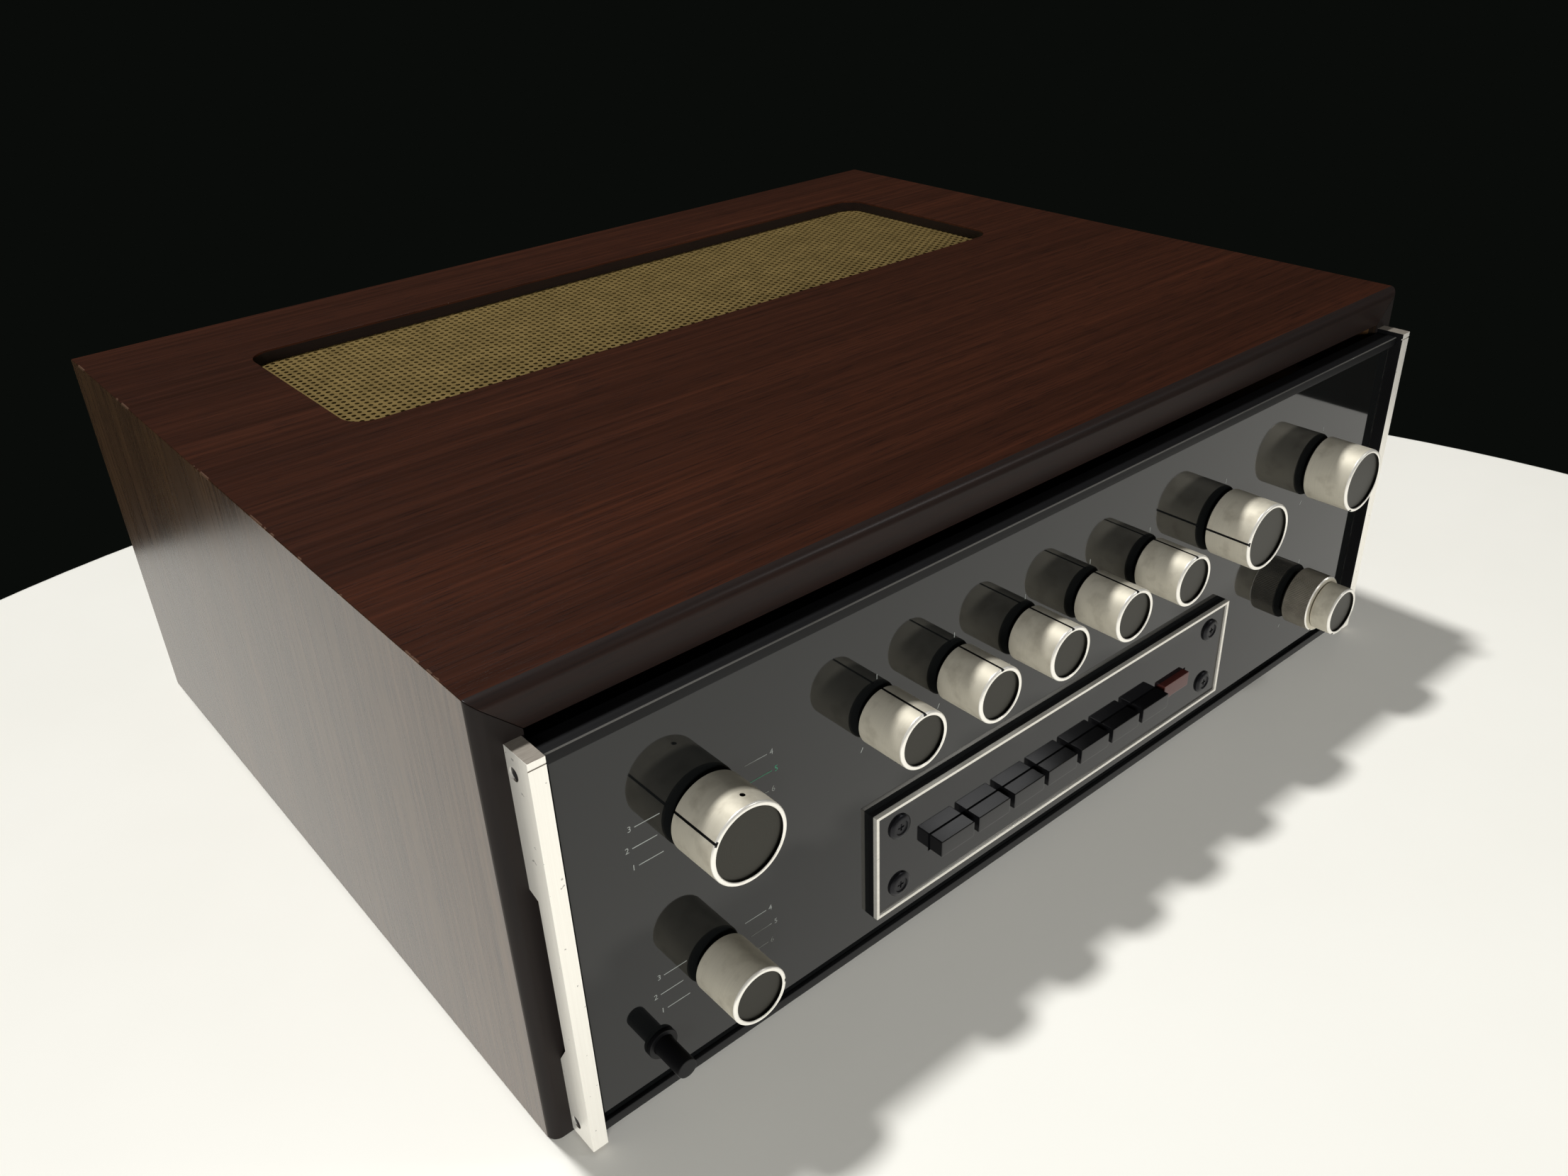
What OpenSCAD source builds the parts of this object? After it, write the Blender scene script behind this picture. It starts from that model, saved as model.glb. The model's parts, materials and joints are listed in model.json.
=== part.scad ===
// Preamplifier with a black glass front panel, in a wooden cabinet with a vented top.
// Millimetres. The origin is the middle of the cabinet's underside, +Z is up, and the front faces -Y.

/* [Front panel] */
// Width over the two end caps
panel_width = 406.4; // [400:0.1:430]
// Height of the end caps
panel_height = 138.2; // [136:0.1:150]
// Height of the end caps above the table
panel_lift = 1.1; // [0.5:0.1:3]
// Width of an end cap, seen from the front
cap_width = 5; // [4:0.1:7]
// Depth of an end cap at its ends
cap_depth = 10.8; // [9:0.1:14]
// How far the middle of an end cap is cut back
relief_depth = 3.9; // [2:0.1:5]
// Start of the cut-back part above the cap's lower end
relief_bottom = 29.4; // [20:0.1:40]
// End of the cut-back part above the cap's lower end
relief_top = 92.4; // [80:0.1:100]
// Height of the ramp at the lower end of the cut-back part
relief_ramp = 6.5; // [3:0.1:10]
// Height of the ramp at the upper end of the cut-back part
relief_step = 1.4; // [0.5:0.1:4]
// Distance of the marking groove from the cap's upper end
cap_groove_drop = 2; // [1:0.1:5]
// Width and depth of the marking groove
cap_groove_size = 0.4; // [0.2:0.1:0.6]
// Thickness of the front glass
glass_thickness = 4.8; // [4:0.1:6]
// Thickness of the metal sub-panel behind the glass
subpanel_thickness = 2; // [1.5:0.1:3]
// Depth of the sub-panel's side flanges in front of its plate
flange_reach = 4; // [3:0.1:5]
// Gap between the glass and what holds its edges
glass_edge_gap = 0.3; // [0.1:0.1:0.6]
// Distance of the rails from the ends of the caps
rail_margin = 1.6; // [1:0.1:3]
// Thickness of the rails' webs above and below the glass
rail_thickness = 1.2; // [0.8:0.1:2]
// Thickness of the rails' lips in front of the glass
lip_thickness = 1.5; // [0.6:0.1:2]
// Height of the rails' lips
lip_height = 3.5; // [2:0.1:5]

/* [Cabinet] */
// Width of cabinet side that shows beside the panel
side_reveal = 6.8; // [4:0.1:12]
// Height of cabinet top that shows above the panel
top_reveal = 14.2; // [13:0.1:24]
// Depth of the cabinet
cabinet_depth = 321; // [300:1:340]
// Thickness of the cabinet boards
board_thickness = 12.7; // [10:0.1:14]
// Radius of the rounded front edges
edge_radius = 3.5; // [1:0.1:5]
// Length of the vent slot in the top
slot_length = 321; // [280:1:345]
// Distance of the vent slot's middle right of the cabinet's middle
slot_offset = 2; // [0:0.5:6]
// Width of the vent slot, front to back
slot_width = 98.5; // [70:0.5:110]
// Distance of the vent slot from the front of the cabinet
slot_setback = 175; // [150:1:180]
// Corner radius of the vent slot
slot_corner = 10; // [2:0.5:14]
// Depth from the cabinet's top face to the grille
grille_drop = 5.2; // [3:0.1:7]
// Thickness of the grille sheet
grille_thickness = 0.8; // [0.5:0.1:1.5]
// Width of the board's rebate that the grille seats in
grille_overlap = 8; // [4:0.5:12]
// Gap around the grille in its rebate
grille_gap = 0.5; // [0.2:0.1:1]
// Number of openings along the grille
grille_columns = 12; // [6:1:12]
// Number of rows of openings in the grille
grille_rows = 8; // [4:1:10]
// Width of the bars between the grille's openings
grille_bar = 4; // [3:0.5:6]

/* [Chassis] */
// Distance of the chassis sides from the ends of the panel
chassis_inset = 12.7; // [11:0.1:16]
// Height of the chassis above the selectors' switches
chassis_headroom = 3.6; // [2:0.1:15]
// Distance of the rear panel from the back of the cabinet
rear_setback = 22; // [18:0.5:40]
// Thickness of the chassis sheet
sheet = 1.5; // [1:0.1:2]
// Thickness of the cover sheet
cover_sheet = 1.2; // [0.8:0.1:2]
// Height of the cover's side flanges
cover_flange = 16; // [10:0.5:30]
// Length of a vent cut in the cover
cover_vent_length = 36; // [20:1:40]
// Width of a vent cut in the cover
cover_vent_width = 4; // [2:0.5:6]
// Spacing of the vent cuts, front to back
cover_vent_pitch = 12; // [8:0.5:16]
// Number of vent cuts in a row, front to back
cover_vent_rows = 8; // [4:1:12]
// Spacing of the rows of vent cuts, side to side
cover_vent_spacing = 56; // [45:1:60]
// Number of rows of vent cuts, side to side
cover_vent_columns = 6; // [2:1:6]

/* [Knob places] */
// Height of the upper knob row above the caps' lower ends
upper_row_height = 94; // [92:0.1:100]
// Height of the mode knob above the caps' lower ends
lower_row_height = 37.8; // [34:0.1:42]
// Height of the dual knob above the caps' lower ends
dual_height = 35.4; // [34:0.1:42]
// Distance of the left knobs from the left end of the panel
left_knob_inset = 50.7; // [45:0.1:56]
// Distance of the right knobs from the right end of the panel
right_knob_inset = 48.7; // [44:0.1:54]
// Distance of the first tone knob left of the panel's middle
first_tone_offset = 88; // [80:0.1:94]
// Spacing of the tone knobs
tone_pitch = 32.8; // [28:0.1:36]
// Number of tone knobs
tone_count = 5; // [1:1:5]
// Distance of the loudness knob right of the panel's middle
loudness_offset = 88.4; // [80:0.1:96]

/* [Knobs] */
// Diameter of the large knobs
large_knob_diameter = 25.4; // [22:0.1:30]
// Diameter of the small knobs
small_knob_diameter = 19.05; // [16:0.05:24]
// Diameter of the dual ring
dual_ring_diameter = 24; // [22.5:0.1:28]
// Diameter of the dual front knob
dual_front_diameter = 20.2; // [17:0.1:22]
// Distance of a knob's back from the glass
knob_gap = 1.8; // [1.7:0.1:4]
// Distance of a knob's front from the glass
knob_reach = 19.8; // [16:0.1:28]
// Distance of the dual ring's front from the glass
ring_reach = 13; // [9:0.1:16]
// Distance of the dual front knob's face from the glass
dual_reach = 22; // [19:0.1:30]
// Gap between the dual ring and its front knob
dual_gap = 0.5; // [0.3:0.1:1]
// Width of the bright rim round a knob's face
knob_rim = 1.4; // [1.2:0.1:3]
// Depth of a knob's sunk face
face_recess = 0.9; // [0.2:0.1:1.5]
// Bevel on the edges of the rim
rim_bevel = 0.5; // [0.2:0.1:0.6]
// Width of a knob's index groove
index_width = 0.8; // [0.4:0.1:1.5]
// Depth of a knob's index groove
index_depth = 0.5; // [0.2:0.1:1]
// Solid metal between a knob's face and its bore
knob_face_wall = 4.5; // [3:0.1:6]
// Diameter of the knob shafts
shaft_diameter = 6.35; // [6:0.05:6.6]
// Outside diameter of the dual ring's tube shaft
tube_diameter = 8; // [7.6:0.1:8.4]
// Diameter of the dual front knob's rod shaft
rod_diameter = 6; // [5:0.1:6.4]
// Radial running clearance of shafts and buttons in their bushes
running_clearance = 0.05; // [0.02:0.01:0.1]
// Thickness of the washers behind the knobs
washer_thickness = 1.4; // [1:0.1:1.5]
// How much smaller a washer's radius is than its knob's
washer_inset = 3; // [2:0.1:4]
// Radial clearance of a washer round its shaft
washer_clearance = 0.3; // [0.2:0.1:1]

/* [Push keys] */
// Width of the button plate
plate_width = 189; // [175:0.5:200]
// Height of the button plate
plate_height = 42.3; // [38:0.1:48]
// Distance of the button plate's face from the glass
plate_thickness = 2.9; // [2.4:0.1:5]
// Height of the button plate's middle above the caps' lower ends
plate_middle = 35.7; // [32:0.1:42]
// Distance of the button plate's middle right of the panel's middle
plate_offset = 2.8; // [0:0.1:8]
// Width of the bright rim round the plate
trim_width = 1.2; // [0.8:0.1:3]
// How far the bright rim stands in front of the plate's face
trim_proud = 0.8; // [0.3:0.1:1.5]
// Depth of the rim's seat in the plate
trim_seat = 1; // [0.5:0.1:2]
// Distance of the plate screws from the plate's ends
plate_screw_inset_x = 10.5; // [8:0.1:12]
// Distance of the plate screws from the plate's upper and lower edges
plate_screw_inset_z = 9.1; // [7:0.1:10]
// Diameter of the plate screws' heads
plate_screw_head = 9; // [7:0.1:10]
// Height of the plate screws' heads
plate_screw_head_height = 1.3; // [1:0.1:3]
// Diameter of the plate screws' shanks
plate_screw_shank = 4; // [3:0.1:5]
// Length of the cross slot in a plate screw's head
plate_screw_slot_length = 4; // [3:0.1:5]
// Width of the cross slot in a plate screw's head
plate_screw_slot_width = 1; // [0.6:0.1:1.5]
// Depth of the cross slot in a plate screw's head
plate_screw_slot_depth = 0.9; // [0.5:0.1:0.9]
// Number of push keys
key_count = 8; // [4:1:8]
// Spacing of the push keys
key_pitch = 17.8; // [15:0.1:18]
// Gap between neighbouring keys
key_gap = 2.2; // [1:0.1:3]
// Height of a key
key_height = 6.2; // [5:0.1:8]
// Distance of the keys below the plate's middle
key_drop = 2.8; // [0:0.1:4]
// How far a key stands out of the plate
key_reach = 5.8; // [5:0.1:8]
// How far the power key is pushed in
latched_depth = 3.4; // [2:0.1:3.8]
// Full travel of a key
key_travel = 4; // [3.8:0.1:5]
// Gap left between a key's shoulder and the chassis at full travel
key_stop_gap = 0.4; // [0.3:0.1:1]
// Clearance round the keys in the button plate
key_clearance = 0.5; // [0.3:0.1:0.8]
// Further clearance of the key window in the glass and the sub-panel
window_clearance = 0.4; // [0.2:0.1:1]
// Width of a key's stem
stem_width = 6; // [4:0.1:8]
// Height of a key's stem
stem_height = 4; // [3:0.1:5]
// Clearance round a key's stem
stem_clearance = 0.4; // [0.3:0.1:0.8]
// Length of stem inside the switch bank with the key out
stem_engagement = 11; // [8:0.5:14]

/* [Latch buttons] */
// Distance of the latch buttons from the ends of the panel
latch_inset = 28.4; // [26:0.1:34]
// Height of the latch buttons above the caps' lower ends
latch_height = 19.8; // [18.5:0.1:24]
// Diameter of a latch button
latch_diameter = 6.5; // [5:0.1:7]
// How far a latch button stands out of the glass
latch_reach = 13; // [10:0.1:16]
// Travel of a latch button
latch_travel = 5; // [3:0.1:6]
// Length of a latch button behind the chassis front
latch_tail = 10; // [8:0.5:20]
// Diameter of a latch bush's flange
bush_flange_diameter = 10; // [9.5:0.1:12]
// Thickness of a latch bush's flange
bush_flange_thickness = 1.5; // [1:0.1:3]
// Wall of a latch bush's sleeve
bush_wall = 1; // [0.8:0.1:1.4]
// Length of a latch bush behind the chassis front
bush_tail = 1; // [0.5:0.1:2]
// Thickness of the collar that keeps a latch button in
collar_thickness = 2; // [1:0.1:3]
// Gap between the collar and its bush
collar_gap = 0.3; // [0.2:0.1:1]

/* [Controls inside] */
// Diameter of the potentiometers
pot_diameter = 24; // [20:0.1:26]
// Depth of the potentiometers
pot_depth = 12; // [10:0.1:20]
// Depth of the dual potentiometer
dual_pot_depth = 20; // [18:0.1:28]
// Thickness of the potentiometers' back walls
pot_back_wall = 2; // [1:0.1:3]
// Wall of the control bushes round their shafts
control_bush_wall = 1.5; // [1:0.1:2]
// Width of a potentiometer's terminal strip
terminal_width = 14; // [10:0.5:18]
// Length of a potentiometer's terminal strip below its case
terminal_length = 5; // [3:0.5:6]
// Thickness of a potentiometer's terminal strip
terminal_thickness = 2; // [1:0.1:3]
// Diameter of a rotary switch's wafers
wafer_diameter = 38; // [32:0.5:40]
// Thickness of a rotary switch's wafers
wafer_thickness = 1.8; // [1:0.1:3]
// Spacing of a rotary switch's wafers
wafer_pitch = 9; // [7:0.5:12]
// Number of wafers on a rotary switch
wafer_count = 3; // [1:1:4]
// Diameter of a rotary switch's middle tube
switch_core_diameter = 12; // [10:0.5:16]
// Thickness of a rotary switch's front plate
switch_front = 4; // [3:0.1:6]
// Diameter of a rotary switch's tie rods
tie_rod_diameter = 3; // [2:0.1:4]
// Distance of the tie rods from the wafers' edge
tie_rod_inset = 4; // [3:0.1:6]
// Gap at the inner end of each shaft and key stem
end_gap = 0.5; // [0.3:0.1:1]
// Clearance of the chassis and panel holes round what passes through them
hole_clearance = 0.2; // [0.1:0.05:0.4]
// Margin of the switch bank round its keys' stems
bank_margin = 5; // [3:0.5:6]
// Thickness of the switch bank's back wall
bank_back = 6; // [3:0.5:12]

/* [Parts inside] */
// Height of the circuit board above the chassis floor
board_lift = 10; // [6:0.5:20]
// Thickness of the circuit board
circuit_board_thickness = 1.6; // [1:0.1:2.4]
// Width of the circuit board
circuit_board_width = 250; // [200:1:255]
// Depth of the circuit board
circuit_board_depth = 200; // [150:1:220]
// Distance of the circuit board from the left chassis wall
circuit_board_inset = 12; // [6:0.5:20]
// Distance of the circuit board in front of the rear panel
circuit_board_setback = 30; // [25:1:50]
// Diameter of the circuit board's pillars
pillar_diameter = 7; // [5:0.1:10]
// Distance of the pillars from the circuit board's edges
pillar_inset = 10; // [8:0.5:20]
// Width of the transformer's core
core_width = 66; // [50:1:70]
// Depth of the transformer's core
core_depth = 40; // [30:1:60]
// Height of the transformer's core
core_height = 55; // [40:1:70]
// How far the winding stands out of the core, front and back
winding_overhang = 12; // [6:0.5:16]
// Width of the core's iron round the winding
core_limb = 11; // [8:0.5:16]
// Distance of the transformer from the right chassis wall
transformer_inset = 18; // [10:0.5:24]
// Distance of the transformer in front of the rear panel
transformer_setback = 45; // [35:1:60]
// Width of the transformer's foot beyond its core
foot_reach = 8; // [6:0.5:10]
// Thickness of the transformer's foot
foot_thickness = 2; // [1:0.1:3]
// Diameter of the filter capacitors
capacitor_diameter = 25; // [20:0.5:32]
// Height of the filter capacitors
capacitor_height = 42; // [30:1:60]
// Spacing of the filter capacitors
capacitor_pitch = 36; // [34:0.5:40]
// Number of filter capacitors
capacitor_count = 4; // [2:1:5]
// Distance of the capacitors from the circuit board's right edge
capacitor_inset = 20; // [18:0.5:26]

/* [Rear panel] */
// Diameter of a phono socket's barrel
socket_diameter = 8.3; // [8:0.1:9]
// Length of a phono socket's barrel
socket_length = 9; // [7:0.1:12]
// Diameter of a phono socket's shoulder
shoulder_diameter = 12; // [11:0.1:14]
// Thickness of a phono socket's shoulder
shoulder_thickness = 2; // [1:0.1:4]
// Diameter of a phono socket's pin hole
pin_hole_diameter = 3.2; // [3:0.1:3.6]
// Length of a phono socket behind the rear panel
socket_tail = 6; // [4:0.5:10]
// Spacing of the phono sockets, side to side
socket_pitch = 20; // [16:0.5:22]
// Number of phono sockets in a row
socket_columns = 10; // [6:1:10]
// Spacing of the two rows of phono sockets
socket_row_pitch = 26; // [18:0.5:32]
// Distance of the first phono socket from the left chassis wall
socket_inset = 25; // [18:0.5:30]
// Height of the rows' middle above the chassis floor
socket_middle = 62; // [50:1:70]
// Diameter of the hole through the cord gland
gland_bore_diameter = 7; // [5:0.1:8]
// Diameter of the cord gland's flange
gland_flange_diameter = 18; // [15:0.1:22]
// Thickness of the cord gland's flange
gland_flange_thickness = 3; // [2:0.1:5]
// Wall of the cord gland's sleeve
gland_wall = 2.5; // [1.5:0.1:4]
// Length of the cord gland behind the rear panel
gland_tail = 6; // [4:0.5:10]
// Distance of the cord gland from the right chassis wall
gland_inset = 30; // [20:0.5:40]
// Height of the cord gland above the chassis floor
gland_height = 26; // [16:0.5:40]

/* [End cap screws] */
// Distance of the upper cap screws from the cap's upper end
cap_screw_top = 7.3; // [6:0.1:10]
// Distance of the lower cap screws from the cap's lower end
cap_screw_bottom = 5.4; // [5:0.1:8]
// Diameter of the cap screws' shanks
cap_screw_shank = 2.5; // [2:0.1:3]
// Diameter of the cap screws' heads
cap_screw_head = 4; // [3.5:0.1:4.5]
// Height of the cap screws' heads
cap_screw_head_height = 1.4; // [1:0.1:2]
// Depth of the cap screws' heads below the cap's side
cap_screw_sink = 0.4; // [0.2:0.1:1]

/* [Hidden] */
$fn = 64;
// Overlap that keeps cuts clean
cut = 1;

// Cabinet faces
cabinet_width = panel_width + 2 * side_reveal;
cabinet_height = panel_lift + panel_height + top_reveal;
front_y = -cabinet_depth / 2;
back_y = cabinet_depth / 2;
side_x = cabinet_width / 2;
inner_x = side_x - board_thickness;
under_top_z = cabinet_height - board_thickness;

// Vent slot
slot_front_y = front_y + slot_setback;
slot_middle_y = slot_front_y + slot_width / 2;
grille_top_z = cabinet_height - grille_drop;
grille_pitch_x = (slot_length - grille_bar) / grille_columns;
grille_pitch_y = (slot_width - grille_bar) / grille_rows;

// Panel layers, from the cabinet's front forwards
glass_back = front_y - subpanel_thickness;
glass_front = glass_back - glass_thickness;
cap_front = front_y - cap_depth;
cap_outer_x = panel_width / 2;
cap_inner_x = cap_outer_x - cap_width;
cap_bottom_z = panel_lift;
cap_top_z = panel_lift + panel_height;
rail_bottom_z = cap_bottom_z + rail_margin;
rail_top_z = cap_top_z - rail_margin;
glass_bottom_z = rail_bottom_z + rail_thickness;
glass_top_z = rail_top_z - rail_thickness;
flange_inner_x = cap_inner_x - subpanel_thickness;
glass_x = flange_inner_x - glass_edge_gap;
cap_screw_y = (front_y + glass_back - flange_reach) / 2;
cap_screw_heights = [cap_bottom_z + cap_screw_bottom, cap_top_z - cap_screw_top];

// Chassis faces
chassis_x = panel_width / 2 - chassis_inset;
floor_z = board_thickness;
floor_top_z = floor_z + sheet;
wall_back = front_y + sheet;
rear_y = back_y - rear_setback;
tray_back = rear_y - sheet;

// Knob places, as X and Z
upper_z = cap_bottom_z + upper_row_height;
lower_z = cap_bottom_z + lower_row_height;
left_x = left_knob_inset - panel_width / 2;
right_x = panel_width / 2 - right_knob_inset;
input_place = [left_x, upper_z];
mode_place = [left_x, lower_z];
tone_places = [for (i = [0 : tone_count - 1]) [i * tone_pitch - first_tone_offset, upper_z]];
loudness_place = [loudness_offset, upper_z];
volume_place = [right_x, upper_z];
dual_place = [right_x, cap_bottom_z + dual_height];
large_places = [input_place, loudness_place, volume_place];
small_places = concat([mode_place], tone_places);
pot_places = concat(tone_places, [loudness_place, volume_place]);
switch_places = [input_place, mode_place];
chassis_top_z = upper_z + wafer_diameter / 2 + chassis_headroom;

// Index grooves, in degrees clockwise from the top
input_index = -60;
mode_index = 90;
tone_index = 0;
loudness_index = -83;
volume_index = -150;
dual_index = -150;

// Knobs and shafts
large_radius = large_knob_diameter / 2;
small_radius = small_knob_diameter / 2;
dual_ring_radius = dual_ring_diameter / 2;
dual_front_radius = dual_front_diameter / 2;
shaft_radius = shaft_diameter / 2;
tube_radius = tube_diameter / 2;
rod_radius = rod_diameter / 2;
knob_back = glass_front - knob_gap;
knob_front = glass_front - knob_reach;
ring_front = glass_front - ring_reach;
dual_front = glass_front - dual_reach;
shaft_bore_radius = shaft_radius + running_clearance;
tube_bore_radius = tube_radius + running_clearance;
rod_bore_radius = rod_radius + running_clearance;
shaft_bush_radius = shaft_bore_radius + control_bush_wall;
tube_bush_radius = tube_bore_radius + control_bush_wall;
switch_depth = switch_front + wafer_count * wafer_pitch;

// Button plate and keys
plate_z = cap_bottom_z + plate_middle;
plate_place = [plate_offset, plate_z];
plate_face = glass_front - plate_thickness;
trim_inner_width = plate_width - 2 * trim_width;
trim_inner_height = plate_height - 2 * trim_width;
plate_screw_x = plate_width / 2 - plate_screw_inset_x;
plate_screw_z = plate_height / 2 - plate_screw_inset_z;
plate_screw_places = [for (sx = [-1, 1], sz = [-1, 1])
    [plate_offset + sx * plate_screw_x, plate_z + sz * plate_screw_z]];
plate_screw_radius = plate_screw_shank / 2;
key_z = plate_z - key_drop;
key_row_place = [plate_offset, key_z];
key_width = key_pitch - key_gap;
key_row_width = key_count * key_pitch - key_gap;
key_front = plate_face - key_reach;
key_shoulder = front_y - key_travel - key_stop_gap;
stem_back = wall_back + stem_engagement;
window_width = key_row_width + 2 * (key_clearance + window_clearance);
window_height = key_height + 2 * (key_clearance + window_clearance);
pocket_back = stem_back + key_travel + end_gap;
stem_hole_width = stem_width + 2 * stem_clearance;
stem_hole_height = stem_height + 2 * stem_clearance;
bank_width = key_row_width + 2 * bank_margin;
bank_height = stem_height + 2 * bank_margin;
function key_x(i) = plate_offset + (i - (key_count - 1) / 2) * key_pitch;

// Latch buttons
latch_x = panel_width / 2 - latch_inset;
latch_z = cap_bottom_z + latch_height;
latch_radius = latch_diameter / 2;
latch_places = [[-latch_x, latch_z], [latch_x, latch_z]];
latch_bore_radius = latch_radius + running_clearance;
sleeve_radius = latch_bore_radius + bush_wall;
bush_back = wall_back + bush_tail;

// Parts inside
circuit_board_z = floor_top_z + board_lift;
circuit_board_left = -chassis_x + sheet + circuit_board_inset;
circuit_board_right = circuit_board_left + circuit_board_width;
circuit_board_back = tray_back - circuit_board_setback;
circuit_board_front = circuit_board_back - circuit_board_depth;
circuit_board_middle = circuit_board_back - circuit_board_depth / 2;
transformer_x = chassis_x - sheet - transformer_inset - core_width / 2;
transformer_y = tray_back - transformer_setback - core_depth / 2;
first_socket_x = -chassis_x + socket_inset;
socket_places = [for (column = [0 : socket_columns - 1], row = [-1, 1])
    [first_socket_x + column * socket_pitch, floor_top_z + socket_middle + row * socket_row_pitch / 2]];
socket_end = rear_y + shoulder_thickness + socket_length;
gland_place = [chassis_x - gland_inset, floor_top_z + gland_height];
gland_sleeve_radius = gland_bore_diameter / 2 + gland_wall;
gland_end = rear_y + gland_flange_thickness;

// Box between two opposite corners
module box(low, high) {
    translate(low) cube(high - low);
}

// Cylinder along Y at a place on the panel
module front_rod(place, from_y, to_y, radius) {
    translate([place[0], to_y, place[1]]) rotate([90, 0, 0]) cylinder(r = radius, h = to_y - from_y);
}

// Cylinder along X
module side_rod(from_x, to_x, y, z, radius) {
    translate([from_x, y, z]) rotate([0, 90, 0]) cylinder(r = radius, h = to_x - from_x);
}

// Flat slab with rounded corners, centred in X and Y
module rounded_slab(length, width, corner, height) {
    union() {
        translate([-length / 2 + corner, -width / 2, 0]) cube([length - 2 * corner, width, height]);
        translate([-length / 2, -width / 2 + corner, 0]) cube([length, width - 2 * corner, height]);
        for (sx = [-1, 1], sy = [-1, 1])
            translate([sx * (length / 2 - corner), sy * (width / 2 - corner), 0])
                cylinder(r = corner, h = height);
    }
}

// What is taken off a square edge along Z at the origin to round it towards +X and +Y
module edge_waste(radius, length) {
    difference() {
        translate([-cut, -cut, 0]) cube([radius + cut, radius + cut, length]);
        translate([radius, radius, -cut]) cylinder(r = radius, h = length + 2 * cut);
    }
}

// Top board, mitred to the sides, with its front edge rounded and the vent slot cut through
module cabinet_top() {
    color("saddlebrown") difference() {
        translate([0, back_y, 0]) rotate([90, 0, 0]) linear_extrude(height = cabinet_depth)
            polygon([[-side_x, cabinet_height], [side_x, cabinet_height],
                     [inner_x, under_top_z], [-inner_x, under_top_z]]);
        translate([-side_x - cut, front_y, cabinet_height]) rotate([0, 90, 0])
            edge_waste(edge_radius, cabinet_width + 2 * cut);
        translate([slot_offset, slot_middle_y, under_top_z - cut])
            rounded_slab(slot_length, slot_width, slot_corner, board_thickness + 2 * cut);
        translate([slot_offset, slot_middle_y, under_top_z - cut])
            rounded_slab(slot_length + 2 * grille_overlap, slot_width + 2 * grille_overlap, slot_corner,
                         grille_top_z - under_top_z + cut);
    }
}

// Side board on the left, mitred to the top; the right one is its mirror image
module left_side_board() {
    difference() {
        translate([0, back_y, 0]) rotate([90, 0, 0]) linear_extrude(height = cabinet_depth)
            polygon([[-side_x, 0], [-inner_x, 0], [-inner_x, under_top_z], [-side_x, cabinet_height]]);
        translate([-side_x, front_y, -cut]) edge_waste(edge_radius, cabinet_height + 2 * cut);
    }
}

module cabinet_left_side() {
    color("saddlebrown") left_side_board();
}

module cabinet_right_side() {
    color("saddlebrown") mirror([1, 0, 0]) left_side_board();
}

module cabinet_bottom() {
    color("peru") box([-inner_x, front_y, 0], [inner_x, back_y, board_thickness]);
}

// Perforated sheet, seated in the rebate under the top board; a plain grid stands for its fine holes
module vent_grille() {
    margin = 2 * (grille_overlap - grille_gap);
    color("darkkhaki") translate([slot_offset, slot_middle_y, grille_top_z - grille_thickness]) difference() {
        rounded_slab(slot_length + margin, slot_width + margin, slot_corner, grille_thickness);
        for (column = [0 : grille_columns - 1], row = [0 : grille_rows - 1])
            translate([grille_bar - slot_length / 2 + column * grille_pitch_x,
                       grille_bar - slot_width / 2 + row * grille_pitch_y, -cut])
                cube([grille_pitch_x - grille_bar, grille_pitch_y - grille_bar, grille_thickness + 2 * cut]);
    }
}

// Holes for the controls, the latch bushes and the plate screws, through everything between two depths
module control_holes(from_y, to_y) {
    for (place = concat(pot_places, switch_places))
        front_rod(place, from_y, to_y, shaft_bush_radius + hole_clearance);
    front_rod(dual_place, from_y, to_y, tube_bush_radius + hole_clearance);
    for (place = latch_places)
        front_rod(place, from_y, to_y, sleeve_radius + hole_clearance);
    for (place = plate_screw_places)
        front_rod(place, from_y, to_y, plate_screw_radius + hole_clearance);
}

// Upright block along Y, centred on a place on the panel
module front_block(place, from_y, to_y, width, height) {
    box([place[0] - width / 2, from_y, place[1] - height / 2],
        [place[0] + width / 2, to_y, place[1] + height / 2]);
}

// Opening for the whole row of keys
module key_window(from_y, to_y) {
    front_block(key_row_place, from_y, to_y, window_width, window_height);
}

// Holes for the keys' stems
module stem_holes(from_y, to_y) {
    for (i = [0 : key_count - 1])
        front_block([key_x(i), key_z], from_y, to_y, stem_hole_width, stem_hole_height);
}

// Folded tray: floor, front wall, two sides and the pillars of the circuit board
module chassis_tray() {
    color("silver") difference() {
        union() {
            box([-chassis_x, front_y, floor_z], [chassis_x, tray_back, floor_top_z]);
            box([-chassis_x, front_y, floor_z], [chassis_x, wall_back, chassis_top_z]);
            for (x = [-chassis_x, chassis_x - sheet])
                box([x, front_y, floor_z], [x + sheet, tray_back, chassis_top_z]);
            for (x = [circuit_board_left + pillar_inset, circuit_board_right - pillar_inset],
                 y = [circuit_board_front + pillar_inset, circuit_board_back - pillar_inset])
                translate([x, y, floor_z]) cylinder(d = pillar_diameter, h = circuit_board_z - floor_z);
        }
        control_holes(front_y - cut, wall_back + cut);
        stem_holes(front_y - cut, wall_back + cut);
    }
}

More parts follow.
